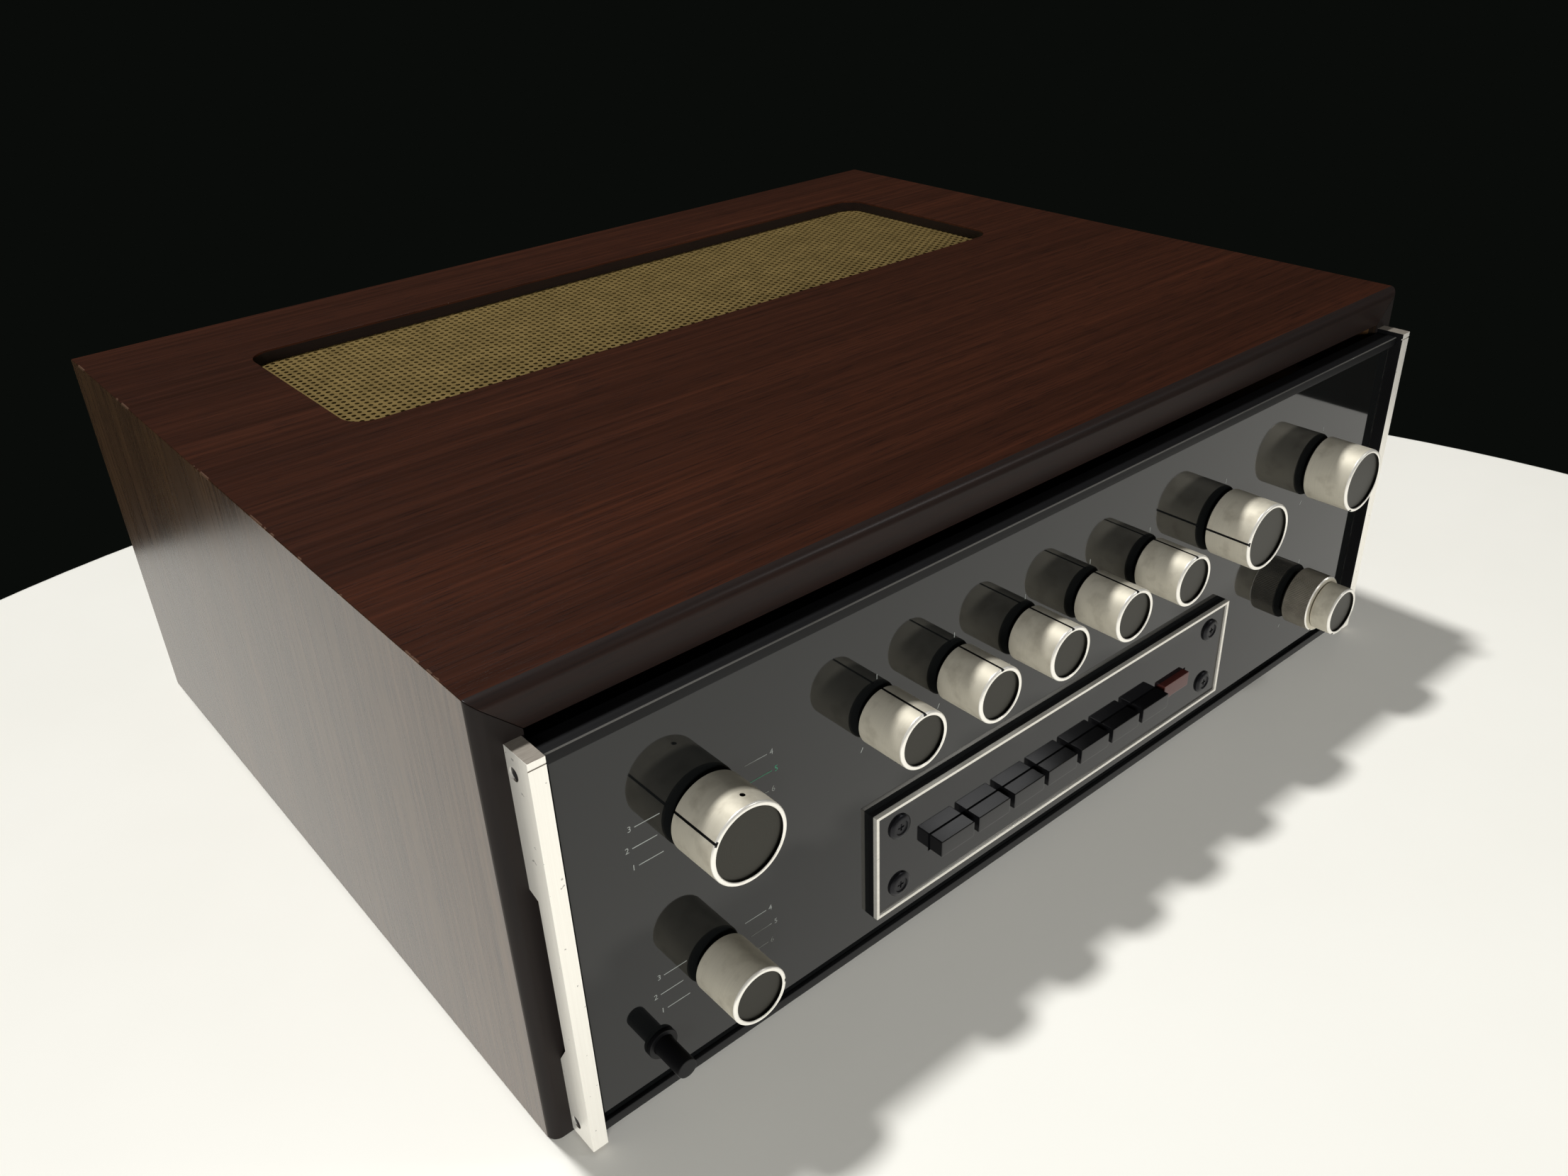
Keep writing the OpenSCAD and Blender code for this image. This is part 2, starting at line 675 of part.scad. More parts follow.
// Lid with side flanges that hold the tray's sides, and rows of vent cuts
module chassis_cover() {
    color("silver") difference() {
        union() {
            box([-chassis_x - cover_sheet, wall_back, chassis_top_z],
                [chassis_x + cover_sheet, rear_y, chassis_top_z + cover_sheet]);
            for (x = [-chassis_x - cover_sheet, chassis_x])
                box([x, wall_back, chassis_top_z - cover_flange],
                    [x + cover_sheet, rear_y, chassis_top_z + cover_sheet]);
        }
        for (column = [0 : cover_vent_columns - 1], row = [0 : cover_vent_rows - 1])
            translate([(column - (cover_vent_columns - 1) / 2) * cover_vent_spacing,
                       slot_middle_y + (row - (cover_vent_rows - 1) / 2) * cover_vent_pitch,
                       chassis_top_z + cover_sheet / 2])
                cube([cover_vent_length, cover_vent_width, cover_sheet + 2 * cut], center = true);
    }
}

module rear_panel() {
    color("silver") difference() {
        box([-chassis_x, tray_back, floor_z], [chassis_x, rear_y, chassis_top_z]);
        for (place = socket_places)
            front_rod(place, tray_back - cut, rear_y + cut, socket_diameter / 2);
        front_rod(gland_place, tray_back - cut, rear_y + cut, gland_sleeve_radius);
    }
}

// Plate behind the glass, with side flanges that the end caps screw to
module front_subpanel() {
    color("gray") difference() {
        union() {
            box([-cap_inner_x, glass_back, glass_bottom_z], [cap_inner_x, front_y, glass_top_z]);
            for (x = [-cap_inner_x, flange_inner_x])
                box([x, glass_back - flange_reach, glass_bottom_z],
                    [x + subpanel_thickness, front_y, glass_top_z]);
        }
        control_holes(glass_back - cut, front_y + cut);
        key_window(glass_back - cut, front_y + cut);
        for (x = [-cap_inner_x, flange_inner_x], z = cap_screw_heights)
            side_rod(x - cut, x + subpanel_thickness + cut, cap_screw_y, z, cap_screw_shank / 2);
    }
}

module glass_panel() {
    color([0.05, 0.05, 0.06]) difference() {
        box([-glass_x, glass_front, glass_bottom_z], [glass_x, glass_back, glass_top_z]);
        control_holes(glass_front - cut, glass_back + cut);
        key_window(glass_front - cut, glass_back + cut);
    }
}

// Angle that covers the glass's upper edge: a web over it and a lip in front
module top_rail() {
    color([0.08, 0.08, 0.09]) union() {
        box([-cap_inner_x, glass_front - lip_thickness, glass_top_z], [cap_inner_x, front_y, rail_top_z]);
        box([-cap_inner_x, glass_front - lip_thickness, rail_top_z - lip_height],
            [cap_inner_x, glass_front, rail_top_z]);
    }
}

module bottom_rail() {
    color([0.08, 0.08, 0.09]) union() {
        box([-cap_inner_x, glass_front - lip_thickness, rail_bottom_z],
            [cap_inner_x, front_y, glass_bottom_z]);
        box([-cap_inner_x, glass_front - lip_thickness, rail_bottom_z],
            [cap_inner_x, glass_front, rail_bottom_z + lip_height]);
    }
}

// Bar at the left end of the panel, cut back in the middle of its height; the right one is its mirror image
module left_cap() {
    difference() {
        translate([-cap_outer_x, 0, 0]) rotate([90, 0, 90]) linear_extrude(height = cap_width)
            polygon([[cap_front, cap_bottom_z], [front_y, cap_bottom_z],
                     [front_y, cap_bottom_z + relief_bottom],
                     [front_y - relief_depth, cap_bottom_z + relief_bottom + relief_ramp],
                     [front_y - relief_depth, cap_bottom_z + relief_top - relief_step],
                     [front_y, cap_bottom_z + relief_top],
                     [front_y, cap_top_z], [cap_front, cap_top_z]]);
        box([-cap_outer_x - cut, cap_front - cut, cap_top_z - cap_groove_drop - cap_groove_size],
            [-cap_inner_x + cut, cap_front + cap_groove_size, cap_top_z - cap_groove_drop]);
        for (z = cap_screw_heights) {
            side_rod(-cap_outer_x - cut, -cap_inner_x + cut, cap_screw_y, z, cap_screw_shank / 2);
            side_rod(-cap_outer_x - cut, -cap_outer_x + cap_screw_sink + cap_screw_head_height,
                     cap_screw_y, z, cap_screw_head / 2);
        }
    }
}

module left_end_cap() {
    color("whitesmoke") left_cap();
}

module right_end_cap() {
    color("whitesmoke") mirror([1, 0, 0]) left_cap();
}

module cap_screw(z) {
    union() {
        side_rod(-cap_outer_x + cap_screw_sink, -cap_outer_x + cap_screw_sink + cap_screw_head_height,
                 cap_screw_y, z, cap_screw_head / 2);
        side_rod(-cap_outer_x + cap_screw_sink, -flange_inner_x, cap_screw_y, z, cap_screw_shank / 2);
    }
}

module end_cap_screws() {
    color("dimgray") for (side = [0, 1], z = cap_screw_heights)
        mirror([side, 0, 0]) cap_screw(z);
}

// Raised block on the glass, stepped round its front for the bright rim, with a slot for the keys
module button_plate() {
    color([0.07, 0.07, 0.08]) difference() {
        union() {
            front_block(plate_place, plate_face + trim_seat, glass_front, plate_width, plate_height);
            front_block(plate_place, plate_face, glass_front, trim_inner_width, trim_inner_height);
        }
        front_block(key_row_place, plate_face - cut, glass_front + cut,
                    key_row_width + 2 * key_clearance, key_height + 2 * key_clearance);
        for (place = plate_screw_places)
            front_rod(place, plate_face - cut, glass_front + cut, plate_screw_radius);
    }
}

module button_plate_trim() {
    color("gainsboro") difference() {
        front_block(plate_place, plate_face - trim_proud, plate_face + trim_seat, plate_width, plate_height);
        front_block(plate_place, plate_face - trim_proud - cut, plate_face + trim_seat + cut,
                    trim_inner_width, trim_inner_height);
    }
}

// Screws through the plate, the glass and the sub-panel into the chassis, with cross-slotted heads
module button_plate_screws() {
    color([0.1, 0.1, 0.1]) for (place = plate_screw_places) difference() {
        union() {
            front_rod(place, plate_face - plate_screw_head_height, plate_face, plate_screw_head / 2);
            front_rod(place, plate_face - cut, wall_back, plate_screw_radius);
        }
        for (turn = [0, 90])
            translate([place[0], plate_face - plate_screw_head_height, place[1]]) rotate([0, turn, 0])
                cube([plate_screw_slot_length, 2 * plate_screw_slot_depth, plate_screw_slot_width],
                     center = true);
    }
}

// Block behind the chassis front with a pocket for each key's stem
module switch_bank() {
    color("dimgray") difference() {
        front_block(key_row_place, wall_back, pocket_back + bank_back, bank_width, bank_height);
        stem_holes(wall_back - cut, pocket_back);
    }
}

// Case, threaded bush and terminal strip of a potentiometer
module pot_case(place, depth, bush_radius) {
    union() {
        front_rod(place, wall_back, wall_back + depth, pot_diameter / 2);
        front_rod(place, glass_back, wall_back + cut, bush_radius);
        box([place[0] - terminal_width / 2, wall_back + depth - terminal_thickness,
             place[1] - pot_diameter / 2 - terminal_length],
            [place[0] + terminal_width / 2, wall_back + depth, place[1]]);
    }
}

module potentiometers() {
    color("lightgray") union() {
        for (place = pot_places) difference() {
            pot_case(place, pot_depth, shaft_bush_radius);
            front_rod(place, glass_back - cut, wall_back + pot_depth - pot_back_wall, shaft_bore_radius);
        }
        difference() {
            pot_case(dual_place, dual_pot_depth, tube_bush_radius);
            front_rod(dual_place, glass_back - cut, wall_back + dual_pot_depth / 2, tube_bore_radius);
            front_rod(dual_place, glass_back - cut, wall_back + dual_pot_depth - pot_back_wall,
                      rod_bore_radius);
        }
    }
}

// Front plate, middle tube, wafers and tie rods of each selector's switch
module rotary_switches() {
    color("burlywood") for (place = switch_places) difference() {
        union() {
            front_rod(place, wall_back, wall_back + switch_front, wafer_diameter / 2);
            front_rod(place, glass_back, wall_back + cut, shaft_bush_radius);
            front_rod(place, wall_back, wall_back + switch_depth, switch_core_diameter / 2);
            for (i = [1 : wafer_count])
                front_rod(place, wall_back + switch_front + i * wafer_pitch - wafer_thickness,
                          wall_back + switch_front + i * wafer_pitch, wafer_diameter / 2);
            for (side = [-1, 1])
                front_rod([place[0] + side * (wafer_diameter / 2 - tie_rod_inset), place[1]],
                          wall_back, wall_back + switch_depth, tie_rod_diameter / 2);
        }
        front_rod(place, glass_back - cut, wall_back + switch_depth - pot_back_wall, shaft_bore_radius);
    }
}

// Black rings on the glass behind the knobs
module washer(place, radius, hole_radius) {
    difference() {
        front_rod(place, glass_front - washer_thickness, glass_front, radius);
        front_rod(place, glass_front - washer_thickness - cut, glass_front + cut,
                  hole_radius + washer_clearance);
    }
}

module shaft_washers() {
    color([0.05, 0.05, 0.05]) union() {
        for (place = large_places)
            washer(place, large_radius - washer_inset, shaft_radius);
        for (place = small_places)
            washer(place, small_radius - washer_inset, shaft_radius);
        washer(dual_place, dual_ring_radius - washer_inset, tube_radius);
    }
}

// Flanged guide of each latch button
module latch_bushes() {
    color([0.1, 0.1, 0.1]) for (place = latch_places) difference() {
        union() {
            front_rod(place, glass_front - bush_flange_thickness, glass_front, bush_flange_diameter / 2);
            front_rod(place, glass_front - bush_flange_thickness, bush_back, sleeve_radius);
        }
        front_rod(place, glass_front - bush_flange_thickness - cut, bush_back + cut, latch_bore_radius);
    }
}

// Iron core with its winding and foot
module power_transformer() {
    color("darkslategray") translate([transformer_x, transformer_y, floor_top_z]) union() {
        box([-core_width / 2, -core_depth / 2, 0], [core_width / 2, core_depth / 2, core_height]);
        box([-core_width / 2 + core_limb, -core_depth / 2 - winding_overhang, core_limb],
            [core_width / 2 - core_limb, core_depth / 2 + winding_overhang, core_height - core_limb]);
        box([-core_width / 2 - foot_reach, -core_depth / 2, 0],
            [core_width / 2 + foot_reach, core_depth / 2, foot_thickness]);
    }
}

module main_circuit_board() {
    color("darkgreen") box([circuit_board_left, circuit_board_front, circuit_board_z],
        [circuit_board_right, circuit_board_back, circuit_board_z + circuit_board_thickness]);
}

module filter_capacitors() {
    color("navy") for (i = [0 : capacitor_count - 1])
        translate([circuit_board_right - capacitor_inset,
                   circuit_board_middle + (i - (capacitor_count - 1) / 2) * capacitor_pitch,
                   circuit_board_z + circuit_board_thickness])
            cylinder(d = capacitor_diameter, h = capacitor_height);
}

// Barrel, shoulder and inner end of each socket, with its pin hole
module phono_sockets() {
    color("silver") for (place = socket_places) difference() {
        union() {
            front_rod(place, tray_back - socket_tail, socket_end, socket_diameter / 2);
            front_rod(place, rear_y, rear_y + shoulder_thickness, shoulder_diameter / 2);
        }
        front_rod(place, rear_y, socket_end + cut, pin_hole_diameter / 2);
    }
}

module cord_gland() {
    color([0.1, 0.1, 0.1]) difference() {
        union() {
            front_rod(gland_place, rear_y, gland_end, gland_flange_diameter / 2);
            front_rod(gland_place, tray_back - gland_tail, gland_end, gland_sleeve_radius);
        }
        front_rod(gland_place, tray_back - gland_tail - cut, gland_end + cut, gland_bore_diameter / 2);
    }
}

// Solid of a turned knob, its back at the origin and its sunk face towards -Y
module turned_knob(radius, length) {
    rotate([90, 0, 0]) rotate_extrude()
        polygon([[0, 0], [radius, 0], [radius, length - rim_bevel], [radius - rim_bevel, length],
                 [radius - knob_rim + rim_bevel, length], [radius - knob_rim, length - face_recess],
                 [0, length - face_recess]]);
}

// Groove along a knob's side, turned clockwise from the top
module index_groove(place, radius, angle, from_y, to_y) {
    translate([place[0], 0, place[1]]) rotate([0, angle, 0])
        box([-index_width / 2, from_y, radius - index_depth], [index_width / 2, to_y, radius + cut]);
}

module knob(place, radius, angle, from_y, to_y, bore_radius) {
    difference() {
        translate([place[0], to_y, place[1]]) turned_knob(radius, to_y - from_y);
        front_rod(place, from_y + knob_face_wall, to_y + cut, bore_radius);
        index_groove(place, radius, angle, from_y - cut, to_y + cut);
    }
}

module single_knob(place, radius, angle) {
    color("silver") knob(place, radius, angle, knob_front, knob_back, shaft_radius);
}

module single_shaft(place, depth) {
    inner_end = wall_back + depth - pot_back_wall - end_gap;
    color("lightsteelblue") front_rod(place, knob_front + knob_face_wall, inner_end, shaft_radius);
}

module dual_ring_knob() {
    color("darkgray") difference() {
        front_rod(dual_place, ring_front, knob_back, dual_ring_radius);
        front_rod(dual_place, ring_front - cut, knob_back + cut, tube_radius);
        index_groove(dual_place, dual_ring_radius, dual_index, ring_front - cut, knob_back + cut);
    }
}

module dual_ring_shaft() {
    color("lightsteelblue") difference() {
        front_rod(dual_place, ring_front, wall_back + dual_pot_depth / 2 - end_gap, tube_radius);
        front_rod(dual_place, ring_front - cut, wall_back + dual_pot_depth / 2 + cut, rod_bore_radius);
    }
}

module dual_front_knob() {
    color("silver") knob(dual_place, dual_front_radius, dual_index, dual_front,
        ring_front - dual_gap, rod_radius);
}

module dual_front_shaft() {
    color("lightsteelblue") front_rod(dual_place, dual_front + knob_face_wall,
        wall_back + dual_pot_depth - pot_back_wall - end_gap, rod_radius);
}

// Key with a shoulder behind the plate and a stem into the switch bank, moved in by a given amount
module push_key(i, moved_in) {
    place = [key_x(i), key_z];
    translate([0, moved_in, 0]) union() {
        front_block(place, key_front, key_shoulder, key_width, key_height);
        front_block(place, key_shoulder - cut, stem_back, stem_width, stem_height);
    }
}

module black_key(i) {
    color([0.08, 0.08, 0.09]) push_key(i, 0);
}

module power_key() {
    color("firebrick") push_key(key_count - 1, latched_depth);
}

// Round button with a collar behind its bush
module latch_button(place) {
    color([0.08, 0.08, 0.08]) union() {
        front_rod(place, glass_front - latch_reach, wall_back + latch_tail, latch_radius);
        front_rod(place, bush_back + collar_gap, bush_back + collar_gap + collar_thickness, sleeve_radius);
    }
}

cabinet_top();
cabinet_left_side();
cabinet_right_side();
cabinet_bottom();
vent_grille();
chassis_tray();
chassis_cover();
rear_panel();
front_subpanel();
glass_panel();
top_rail();
bottom_rail();
left_end_cap();
right_end_cap();
end_cap_screws();
button_plate();
button_plate_trim();
button_plate_screws();
switch_bank();
potentiometers();
rotary_switches();
shaft_washers();
latch_bushes();
power_transformer();
main_circuit_board();
filter_capacitors();
phono_sockets();
cord_gland();
single_knob(input_place, large_radius, input_index);  // input_selector_knob
single_shaft(input_place, switch_depth);  // input_selector_shaft
single_knob(mode_place, small_radius, mode_index);  // mode_selector_knob
single_shaft(mode_place, switch_depth);  // mode_selector_shaft
for (i = [1 : tone_count]) {
    place = tone_places[i - 1];
    single_knob(place, small_radius, tone_index);
    single_shaft(place, pot_depth);
}
single_knob(loudness_place, large_radius, loudness_index);  // loudness_knob
single_shaft(loudness_place, pot_depth);  // loudness_shaft
single_knob(volume_place, large_radius, volume_index);  // volume_knob
single_shaft(volume_place, pot_depth);  // volume_shaft
dual_ring_knob();
dual_ring_shaft();
dual_front_knob();
dual_front_shaft();
for (i = [1 : key_count - 1])
    black_key(i - 1);
power_key();
latch_button(latch_places[0]);  // left_latch_button
latch_button(latch_places[1]);  // right_latch_button
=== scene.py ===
import json
import math

import bpy
from mathutils import Matrix, Vector

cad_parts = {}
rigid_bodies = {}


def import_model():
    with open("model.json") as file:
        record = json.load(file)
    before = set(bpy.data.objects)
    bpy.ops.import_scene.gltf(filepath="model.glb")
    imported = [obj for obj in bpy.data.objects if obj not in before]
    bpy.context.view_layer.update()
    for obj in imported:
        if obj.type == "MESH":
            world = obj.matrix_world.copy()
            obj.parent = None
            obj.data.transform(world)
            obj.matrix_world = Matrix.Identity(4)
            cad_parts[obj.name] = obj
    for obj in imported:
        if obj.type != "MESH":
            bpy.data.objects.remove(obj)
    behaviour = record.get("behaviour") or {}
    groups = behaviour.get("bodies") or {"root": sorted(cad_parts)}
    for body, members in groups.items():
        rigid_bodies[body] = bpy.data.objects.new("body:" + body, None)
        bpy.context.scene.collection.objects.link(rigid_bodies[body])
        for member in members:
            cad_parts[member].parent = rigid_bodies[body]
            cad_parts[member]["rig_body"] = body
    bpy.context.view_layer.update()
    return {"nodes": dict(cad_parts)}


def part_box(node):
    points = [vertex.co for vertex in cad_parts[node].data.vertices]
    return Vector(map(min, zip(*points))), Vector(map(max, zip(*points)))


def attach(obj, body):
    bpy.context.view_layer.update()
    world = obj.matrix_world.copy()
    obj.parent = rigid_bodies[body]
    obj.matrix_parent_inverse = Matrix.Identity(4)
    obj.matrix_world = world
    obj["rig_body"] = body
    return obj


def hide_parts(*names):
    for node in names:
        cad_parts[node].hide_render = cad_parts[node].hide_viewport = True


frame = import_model()


# Camera in front of the cabinet's left corner, a little above its top.
# Its place, lens and tilt follow from the edges of the cabinet in the photograph.
camera_place = Vector((-0.30676, -0.39530, 0.32306))
camera_azimuth = math.radians(-39.10)
camera_tilt = math.radians(30.30)
camera_roll = math.radians(-2.54)
camera_lens = 29.905
film_width = 36
bpy.ops.object.select_all(action="DESELECT")
bpy.ops.object.camera_add()
camera = bpy.context.object
camera.data.sensor_width = film_width
camera.data.lens = camera_lens
camera.matrix_world = (
    Matrix.Translation(camera_place)
    @ Matrix.Rotation(camera_azimuth, 4, "Z")
    @ Matrix.Rotation(math.pi / 2 - camera_tilt, 4, "X")
    @ Matrix.Rotation(camera_roll, 4, "Z")
)
bpy.context.scene.camera = camera
bpy.context.scene.view_settings.view_transform = "Standard"


# Table that the cabinet stands on: a white laminate top with a round far end and a soft edge.
# It is cut from a disc, drawn out towards the front.
mm = 0.001
table_middle = (-0.112, -0.226, 0)
table_radius = 0.55
table_reach = 0.8
table_thickness = 30 * mm
table_edge = 5 * mm
table_sides = 160
edge_steps = 4
laminate_white = (247, 245, 237)
laminate_shade = (242, 240, 231)
laminate_glow = (247, 245, 238)
glow_seen = 0.02
glow_mirrored = 0.7


class Wire:
    """An output in a node tree that sums can be written with; each adds its Math node."""

    def __init__(self, tree, socket=None):
        self.tree = tree
        self.socket = socket

    def node(self, kind, settings, sockets, output=0):
        """Adds a node from its type, its settings and the value or wire of each socket."""
        made = self.tree.nodes.new(kind)
        for setting, value in settings.items():
            if setting == "stops":
                made.color_ramp.elements[0].position = value[0][0]
                made.color_ramp.elements[0].color = value[0][1]
                made.color_ramp.elements[1].position = value[-1][0]
                made.color_ramp.elements[1].color = value[-1][1]
                for position, shade in value[1:-1]:
                    made.color_ramp.elements.new(position).color = shade
            else:
                setattr(made, setting, value)
        for socket, value in sockets.items():
            if isinstance(value, Wire):
                self.tree.links.new(value.socket, made.inputs[socket])
            else:
                made.inputs[socket].default_value = value
        return Wire(self.tree, made.outputs[output])

    def feed(self, socket):
        """Links this output to a shader's socket."""
        self.tree.links.new(self.socket, socket)

    def math(self, operation, first, second=0.0):
        return self.node("ShaderNodeMath", {"operation": operation}, {0: first, 1: second})

    def __add__(self, other):
        return self.math("ADD", self, other)

    def __sub__(self, other):
        return self.math("SUBTRACT", self, other)

    def __rsub__(self, other):
        return self.math("SUBTRACT", other, self)

    def __mul__(self, other):
        return self.math("MULTIPLY", self, other)

    def __gt__(self, other):
        return self.math("GREATER_THAN", self, other)

    def __lt__(self, other):
        return self.math("LESS_THAN", self, other)

    def __abs__(self):
        return self.math("ABSOLUTE", self)

    __radd__ = __add__
    __rmul__ = __mul__


def colour(shade):
    """A colour written as it shows on a screen, 0 to 255, in the renderer's linear values."""
    linear = []
    for level in shade:
        level = level / 255
        linear.append(level / 12.92 if level <= 0.04045 else ((level + 0.055) / 1.055) ** 2.4)
    return (*linear, 1.0)


def new_finish(name, steady):
    """A material with its steady values set on its shader; gives it, the shader and a first wire."""
    material = bpy.data.materials.new(name)
    material.use_nodes = True
    shader = material.node_tree.nodes["Principled BSDF"]
    for socket, value in steady.items():
        shader.inputs[socket].default_value = value
    return material, shader, Wire(material.node_tree)


def mottle(root, scale, detail=3.0, stretch=(1, 1, 1)):
    """Noise over the piece's own place, drawn out along the axes with a small stretch."""
    place = root.node("ShaderNodeTexCoord", {}, {}, "Object")
    drawn = root.node("ShaderNodeMapping", {}, {"Vector": place, "Scale": stretch})
    return root.node("ShaderNodeTexNoise", {}, {"Vector": drawn, "Scale": scale, "Detail": detail})


def blend(root, share, first, second):
    """A colour between two others, each a wire or a screen colour."""
    ends = [end if isinstance(end, Wire) else colour(end) for end in (first, second)]
    mixed = {"data_type": "RGBA"}
    return root.node("ShaderNodeMix", mixed, {0: share, 6: ends[0], 7: ends[1]}, 2)


def tint(root, shader, share, first, second):
    """Gives a finish a colour between two others."""
    blend(root, share, first, second).feed(shader.inputs["Base Color"])


def roughen(shader, pattern, least, most):
    """Gives a finish a roughness between two values, by a pattern."""
    (pattern * (most - least) + least).feed(shader.inputs["Roughness"])


def relief(root, shader, height, depth, strength=1.0):
    """Bumps of a given depth from a height between 0 and 1."""
    bump = root.node("ShaderNodeBump", {}, {
        "Height": height, "Distance": depth, "Strength": strength})
    bump.feed(shader.inputs["Normal"])


def ray_kinds(root):
    """Whether a ray comes from the camera, and whether it comes off metal or through glass."""
    seen = root.node("ShaderNodeLightPath", {}, {}, "Is Camera Ray")
    mirrored = root.node("ShaderNodeLightPath", {}, {}, "Is Glossy Ray")
    seen_through = root.node("ShaderNodeLightPath", {}, {}, "Is Transmission Ray")
    return seen, mirrored + seen_through


def pick_points(piece, test):
    """In edit mode, selects the points of a piece whose place passes a test."""
    bpy.ops.mesh.select_mode(type="VERT")
    bpy.ops.mesh.select_all(action="DESELECT")
    bpy.ops.object.mode_set(mode="OBJECT")
    for point in piece.data.vertices:
        point.select = test(point.co)
    bpy.ops.object.mode_set(mode="EDIT")


def round_edges(piece, width, steps=2):
    """Rounds the sharp edges of a piece and shades it smooth between them."""
    sharp_angle = math.radians(40)
    shaded_angle = math.radians(35)
    bevel = piece.modifiers.new("round_edges", "BEVEL")
    bevel.width = width
    bevel.segments = steps
    bevel.limit_method = "ANGLE"
    bevel.angle_limit = sharp_angle
    bpy.ops.object.modifier_apply(modifier=bevel.name)
    bpy.ops.object.shade_smooth_by_angle(angle=shaded_angle)
    flatten = piece.modifiers.new("flat_faces", "WEIGHTED_NORMAL")
    flatten.keep_sharp = True
    bpy.ops.object.modifier_apply(modifier=flatten.name)


bpy.ops.object.select_all(action="DESELECT")
bpy.ops.mesh.primitive_circle_add(
    vertices=table_sides, radius=table_radius, fill_type="NGON", location=table_middle)
table = bpy.context.object
table.name = "table"
bpy.ops.object.transform_apply(location=True)
bpy.ops.object.mode_set(mode="EDIT")
pick_points(table, lambda point: point.y < table_middle[1] - mm)
bpy.ops.transform.translate(value=(0, -table_reach, 0))
bpy.ops.mesh.select_all(action="SELECT")
bpy.ops.mesh.extrude_region_move(TRANSFORM_OT_translate={"value": (0, 0, -table_thickness)})
bpy.ops.mesh.select_all(action="SELECT")
bpy.ops.mesh.normals_make_consistent(inside=False)
bpy.ops.object.mode_set(mode="OBJECT")
round_edges(table, table_edge, edge_steps)
laminate, shader, root = new_finish("white_laminate", {})
tint(root, shader, mottle(root, 9), laminate_white, laminate_shade)
roughen(shader, mottle(root, 40), 0.4, 0.5)
seen, mirrored = ray_kinds(root)
glow = root.node("ShaderNodeEmission", {}, {"Color": colour(laminate_glow)})
lifted = root.node("ShaderNodeMixShader", {}, {
    0: seen * glow_seen + mirrored * glow_mirrored,
    1: Wire(root.tree, shader.outputs[0]), 2: glow})
lifted.feed(root.tree.nodes["Material Output"].inputs["Surface"])
table.data.materials.append(laminate)


# Light: a lamp high up behind the cabinet throws its shadow and the knobs' shadows to the front.
# A wide soft one low in front fills in the panel and the left side and gives no highlights, as the
# room is dark there. A small one shines on the first keys, and the room adds a little light.
lamp_target = Vector((0.0, -0.1, 0.05))
lamps = (
    ("ceiling_lamp", Vector((-0.28, 0.865, 3.0)), 0.25, 79.0, True),
    ("front_lamp", Vector((-1.3, -1.75, 0.42)), 0.7, 46.0, False),
    ("small_lamp", Vector((0.88, -0.97, 1.07)), 0.25, 2.5, True),
)
room_dark = (10, 12, 10)
room_mirrored = (30, 28, 24)
room_glow = (70, 70, 68)
for lamp_name, lamp_place, lamp_size, lamp_power, gives_highlights in lamps:
    bpy.ops.object.light_add(type="AREA", location=lamp_place)
    lamp = bpy.context.object
    lamp.name = lamp_name
    lamp.data.shape = "DISK"
    lamp.data.size = lamp_size
    lamp.data.energy = lamp_power
    lamp.visible_glossy = gives_highlights
    lamp.rotation_euler = (lamp_target - lamp_place).to_track_quat("-Z", "Y").to_euler()
room = bpy.data.worlds.new("dark_room")
room.use_nodes = True
bpy.context.scene.world = room
root = Wire(room.node_tree)
seen, mirrored = ray_kinds(root)
unlit = blend(root, root.math("MINIMUM", mirrored, 1.0), room_glow, room_mirrored)
blend(root, seen, unlit, room_dark).feed(room.node_tree.nodes["Background"].inputs["Color"])


# Top and side boards: dark walnut veneer under satin lacquer, mitred together at the upper corners.
# The front edges are rounded over and stained black, the black partly painted shade, and the upper
# corners are rubbed in places.
board_ease = 0.35 * mm
cabinet_low, cabinet_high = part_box("cabinet_top")
top_shades = ((0.30, (40, 21, 13)), (0.46, (48, 25, 16)), (0.58, (56, 29, 18)), (0.76, (74, 38, 23)))
# The sides' shades are lighter than the top's: painted light on the sides.
side_shades_painted_lighter = ((0.30, (48, 33, 21)), (0.46, (62, 44, 28)), (0.58, (74, 53, 33)), (0.76, (94, 67, 42)))
pore_dark = (26, 14, 11)
black_stain_and_shade = (19, 17, 16)
rubbed_pale = (124, 98, 80)
brown_stain_and_shade = (32, 27, 25)
rubbed_width = 0.6 * mm
nose_depth = 3.2 * mm
cut_depth = 0.9 * mm
band_share = 0.45
pore_limit = 0.42
pore_strength = 0.5
stain_and_shade_strength = 0.85
rubbed_limit = 0.56
rubbed_strength = 0.4
front_slope = 0.3
same_place = 0.002 * mm
flat_angle = math.radians(0.5)


def along_grain(grain, across, along):
    """How much finer a pattern is across the grain than along it."""
    stretch = [across, across, across]
    stretch[grain] = along
    return stretch


